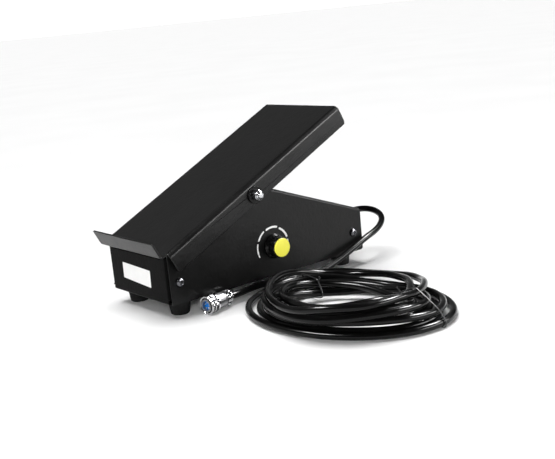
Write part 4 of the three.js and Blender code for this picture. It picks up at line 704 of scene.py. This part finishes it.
def dial_marks():
    """White strokes on the wall round the knob, which grow thicker clockwise."""
    verts, faces = [], []
    for first, last, radius, thick, thicker in DIAL:
        outer, inner = [], []
        for k in range(DIAL_STEPS + 1):
            t = k / DIAL_STEPS
            angle = math.radians(first + (last - first) * t)
            half = (thick + (thicker - thick) * t) / 2
            if k in (0, DIAL_STEPS):
                half -= DIAL_CORNER
            for edge, r in ((outer, radius + half), (inner, radius - half)):
                edge.append((KNOB[0] + r * math.cos(angle), KNOB[1] + r * math.sin(angle)))
        outline = outer + inner[::-1]
        start, n = len(verts), len(outline)
        verts += [at(x, -WALL - lift, z) for lift in (0.01, 0.07) for x, z in outline]
        faces += [tuple(range(start, start + n)), tuple(range(start + 2 * n - 1, start + n - 1, -1))]
        faces += [(start + k, start + (k + 1) % n, start + n + (k + 1) % n, start + n + k) for k in range(n)]
    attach(mesh_object("dial_marks", verts, faces, WHITE), "base")


dial_marks()


# ---------- Cover screws with a cross recess ----------
SCREW_PLACES = {"front": 13.0, "rear": 242.0}  # x
SCREW_HEIGHT = 36.5  # z
HEAD_RADIUS = 4.3
HEAD_HEIGHT = 2.6
HEAD_RIM = 0.35  # share of the height that is a plain rim under the dome
RECESS_DEPTH = 1.3
# A black ring under each head, which paints the dark ring of shade round it.
SHADE_RING_PROFILE = ((4.0, 0.02), (5.1, 0.02), (5.2, 0.12), (5.1, 0.27), (4.0, 0.27), (4.0, 0.02))
SHADE_RING_THICKNESS = 0.3
DOME_ROWS = 16
DOME_FIRST = 0.12  # radians above the rim
HEAD_STEPS = 72


def screw_head(name, place, axis):
    """A domed head, its underside at place and its crown towards axis, with a tapered cross recess."""
    axis = Vector(axis).normalized()
    first = axis.cross(Vector((0.35, 0.1, 0.9))).normalized()
    second = axis.cross(first)
    half, arm = 0.14 * HEAD_RADIUS, 0.56 * HEAD_RADIUS
    levels = [(HEAD_RADIUS, 0.0), (HEAD_RADIUS, HEAD_RIM * HEAD_HEIGHT)]
    for row in range(DOME_ROWS + 1):
        angle = DOME_FIRST + (math.pi / 2 - DOME_FIRST) * row / DOME_ROWS
        rise = HEAD_RIM + (1 - HEAD_RIM) * math.sin(angle)
        levels.append((HEAD_RADIUS * math.cos(angle), HEAD_HEIGHT * rise))
    verts, faces = [], []
    for r, up in levels:
        for k in range(HEAD_STEPS):
            angle = 2 * math.pi * k / HEAD_STEPS
            x, y = r * math.cos(angle), r * math.sin(angle)
            near, far = sorted((abs(x), abs(y)))
            cut = min(1, max(0, (half - near) / (0.5 * half))) * min(1, max(0, (arm - far) / (0.3 * arm)))
            verts.append(at(*place) + (first * x + second * y + axis * (up - RECESS_DEPTH * cut)) / 1000)
    for i in range(len(levels) - 1):
        for k in range(HEAD_STEPS):
            a, b = i * HEAD_STEPS + k, i * HEAD_STEPS + (k + 1) % HEAD_STEPS
            faces.append((a, b, b + HEAD_STEPS, a + HEAD_STEPS))
    faces.append(tuple(range(HEAD_STEPS)))
    return mesh_object(name, verts, faces, DARK_STEEL, 28)


def cover_screws():
    for end, x in SCREW_PLACES.items():
        for side, way in (("near", -1), ("far", 1)):
            place = (x, way * (WALL + SHADE_RING_THICKNESS), SCREW_HEIGHT)
            head = screw_head(f"cover_screw_head_{end}_{side}", place, (0, way, 0))
            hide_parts(f"cover_screw_{end}_{side}")
            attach(head, "base")
            # Under each head a black ring: painted shade round the head.
            name = f"cover_screw_washer_{end}_{side}"
            place = at(x, way * WALL, SCREW_HEIGHT)
            shade_ring = revolve(name, SHADE_RING_PROFILE, place, (0, way, 0), KNOB_BLACK, 48)
            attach(shade_ring, "base")


cover_screws()


# ---------- Blank sticker on the front plate ----------
STICKER_CORNERS = ((29.2, 47.9), (-24, 46), (-23, 28.3), (30.1, 31.4))  # y and z
STICKER_ROUND = 0.9
STICKER_FACES = (-0.02, -0.14)  # x of its back and of its front


def sticker():
    corners = [Vector(p) for p in STICKER_CORNERS]
    outline = []
    for i, corner in enumerate(corners):
        before = (corners[i - 1] - corner).normalized()
        after = (corners[(i + 1) % 4] - corner).normalized()
        for k in range(6):
            t = k / 5
            outline.append(corner + before * STICKER_ROUND * (1 - t) ** 2 + after * STICKER_ROUND * t**2)
    n = len(outline)
    verts = [at(x, p.x, p.y) for x in STICKER_FACES for p in outline]
    faces = [tuple(range(n)), tuple(range(2 * n - 1, n - 1, -1))]
    faces += [(k, (k + 1) % n, n + (k + 1) % n, n + k) for k in range(n)]
    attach(mesh_object("blank_sticker", verts, faces, WHITE), "base")


sticker()


# ---------- Return spring ----------
SPRING_PLACE = (36, -20)  # x and y
SPRING_TAILS = (22.3, 68.7)  # heights of the wire's two ends
SPRING_EARS = (25.5, 65.5)  # heights of the ears that the tails pass through
SPRING_NECK = 0.9  # straight wire between each ear and its first bend
SPRING_LEAD = 2.4  # from each ear to the coils
SPRING_TURNS = 14
SPRING_STEPS = 28  # points in each turn
SPRING_RADIUS = 5.0
SPRING_WIRE = 0.6  # radius


def spring():
    x, y = SPRING_PLACE
    low, high = SPRING_EARS
    start, end = low + SPRING_LEAD, high - SPRING_LEAD
    points = [(x, y, SPRING_TAILS[0]), (x, y, low + SPRING_NECK)]
    for i in range(SPRING_TURNS * SPRING_STEPS + 1):
        turn = i / SPRING_STEPS
        spread = SPRING_RADIUS * max(0.15, min(1, turn * 3, (SPRING_TURNS - turn) * 3))
        angle = 2 * math.pi * turn
        height = start + (end - start) * turn / SPRING_TURNS
        points.append((x + spread * math.cos(angle), y + spread * math.sin(angle), height))
    points += [(x, y, high - SPRING_NECK), (x, y, SPRING_TAILS[1])]
    wire = to_mesh(tube("return_spring_wire", [at(*p) for p in points], SPRING_WIRE, STEEL, 2))
    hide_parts("return_spring")
    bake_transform(wire)


spring()


# ---------- Floor and light ----------
FLOOR_RADIUS = 60  # metres
LIT_POINT = Vector((0.03, -0.08, 0.03))  # metres
SUN_DISTANCE = 2  # metres
# The surroundings' strength along one axis of the direction: two stops of (share, strength).
SURROUNDINGS = (("Y", ((0.2, 0.0), (0.75, 0.2))), ("Z", ((0.05, 1.1), (0.07, 0.0))))


def floor():
    """A round white floor that runs out to the horizon."""
    mesh = bpy.data.meshes.new("studio_floor")
    shape = bmesh.new()
    bmesh.ops.create_circle(shape, cap_ends=True, segments=96, radius=FLOOR_RADIUS)
    shape.to_mesh(mesh)
    shape.free()
    obj = bpy.data.objects.new("studio_floor", mesh)
    bpy.context.scene.collection.objects.link(obj)
    m = Nodes("studio_floor", (0.9, 0.9, 0.9), 0.9, specular=0.1)
    m.color(m.noise(3, 2), (0.89, 0.89, 0.89), (0.91, 0.91, 0.91))
    mesh.materials.append(m.material)


floor()


def area(name, azimuth, elevation, distance, size, radiance, diffuse=True, glossy=True):
    """A soft box of the given brightness per area, which shines on the object from one direction."""
    data = bpy.data.lights.new(name, "AREA")
    data.shape = "RECTANGLE"
    data.size, data.size_y = size
    data.energy = radiance * math.pi * size[0] * size[1]
    aim(name, data, azimuth, elevation, distance, diffuse, glossy)


def sun(name, azimuth, elevation, angle, strength):
    """Even light from above. It has no reflection, which the soft boxes give instead."""
    data = bpy.data.lights.new(name, "SUN")
    data.angle = math.radians(angle)
    data.energy = strength
    aim(name, data, azimuth, elevation, SUN_DISTANCE, True, False)


def aim(name, data, azimuth, elevation, distance, diffuse, glossy):
    """Places a light that far from the lit point, in metres, and turns it to that point."""
    obj = bpy.data.objects.new(name, data)
    bpy.context.scene.collection.objects.link(obj)
    azimuth, elevation = math.radians(azimuth), math.radians(elevation)
    flat = math.cos(elevation)
    out = Vector((flat * math.cos(azimuth), flat * math.sin(azimuth), math.sin(elevation)))
    obj.location = LIT_POINT + out * distance
    obj.rotation_mode = "QUATERNION"
    obj.rotation_quaternion = out.to_track_quat("Z", "Y")
    obj.visible_diffuse = diffuse
    obj.visible_glossy = glossy


def world():
    """A dark studio, white up to just above the horizon, with a dim backdrop behind the object."""
    made = bpy.data.worlds.new("studio")
    bpy.context.scene.world = made
    made.use_nodes = True
    tree = made.node_tree
    back = tree.nodes["Background"]
    back.inputs["Color"].default_value = (1, 1, 1, 1)
    place = tree.nodes.new("ShaderNodeTexCoord")
    split = tree.nodes.new("ShaderNodeSeparateXYZ")
    tree.links.new(place.outputs["Generated"], split.inputs["Vector"])
    tones = []
    for axis, stops in SURROUNDINGS:
        tone = tree.nodes.new("ShaderNodeMapRange")
        tone.inputs["From Min"].default_value, tone.inputs["To Min"].default_value = stops[0]
        tone.inputs["From Max"].default_value, tone.inputs["To Max"].default_value = stops[1]
        tree.links.new(split.outputs[axis], tone.inputs["Value"])
        tones.append(tone.outputs["Result"])
    most = tree.nodes.new("ShaderNodeMath")
    most.operation = "MAXIMUM"
    tree.links.new(tones[0], most.inputs[0])
    tree.links.new(tones[1], most.inputs[1])
    tree.links.new(most.outputs["Value"], back.inputs["Strength"])


world()
sun("sky", azimuth=110, elevation=79, angle=46, strength=3.4)
for name, azimuth in (("left_box", 165), ("right_box", 345)):
    area(name, azimuth, elevation=50, distance=1.2, size=(0.45, 0.25), radiance=90, diffuse=False)
area("low_box", azimuth=-53, elevation=17, distance=1.3, size=(1.2, 0.22), radiance=25, diffuse=False)
area("front_fill", azimuth=-128, elevation=9, distance=1.6, size=(0.9, 0.9), radiance=10.5, glossy=False)
scene = bpy.context.scene
scene.view_settings.view_transform = "Standard"
scene.view_settings.look = "None"
scene.view_settings.exposure = 0.0
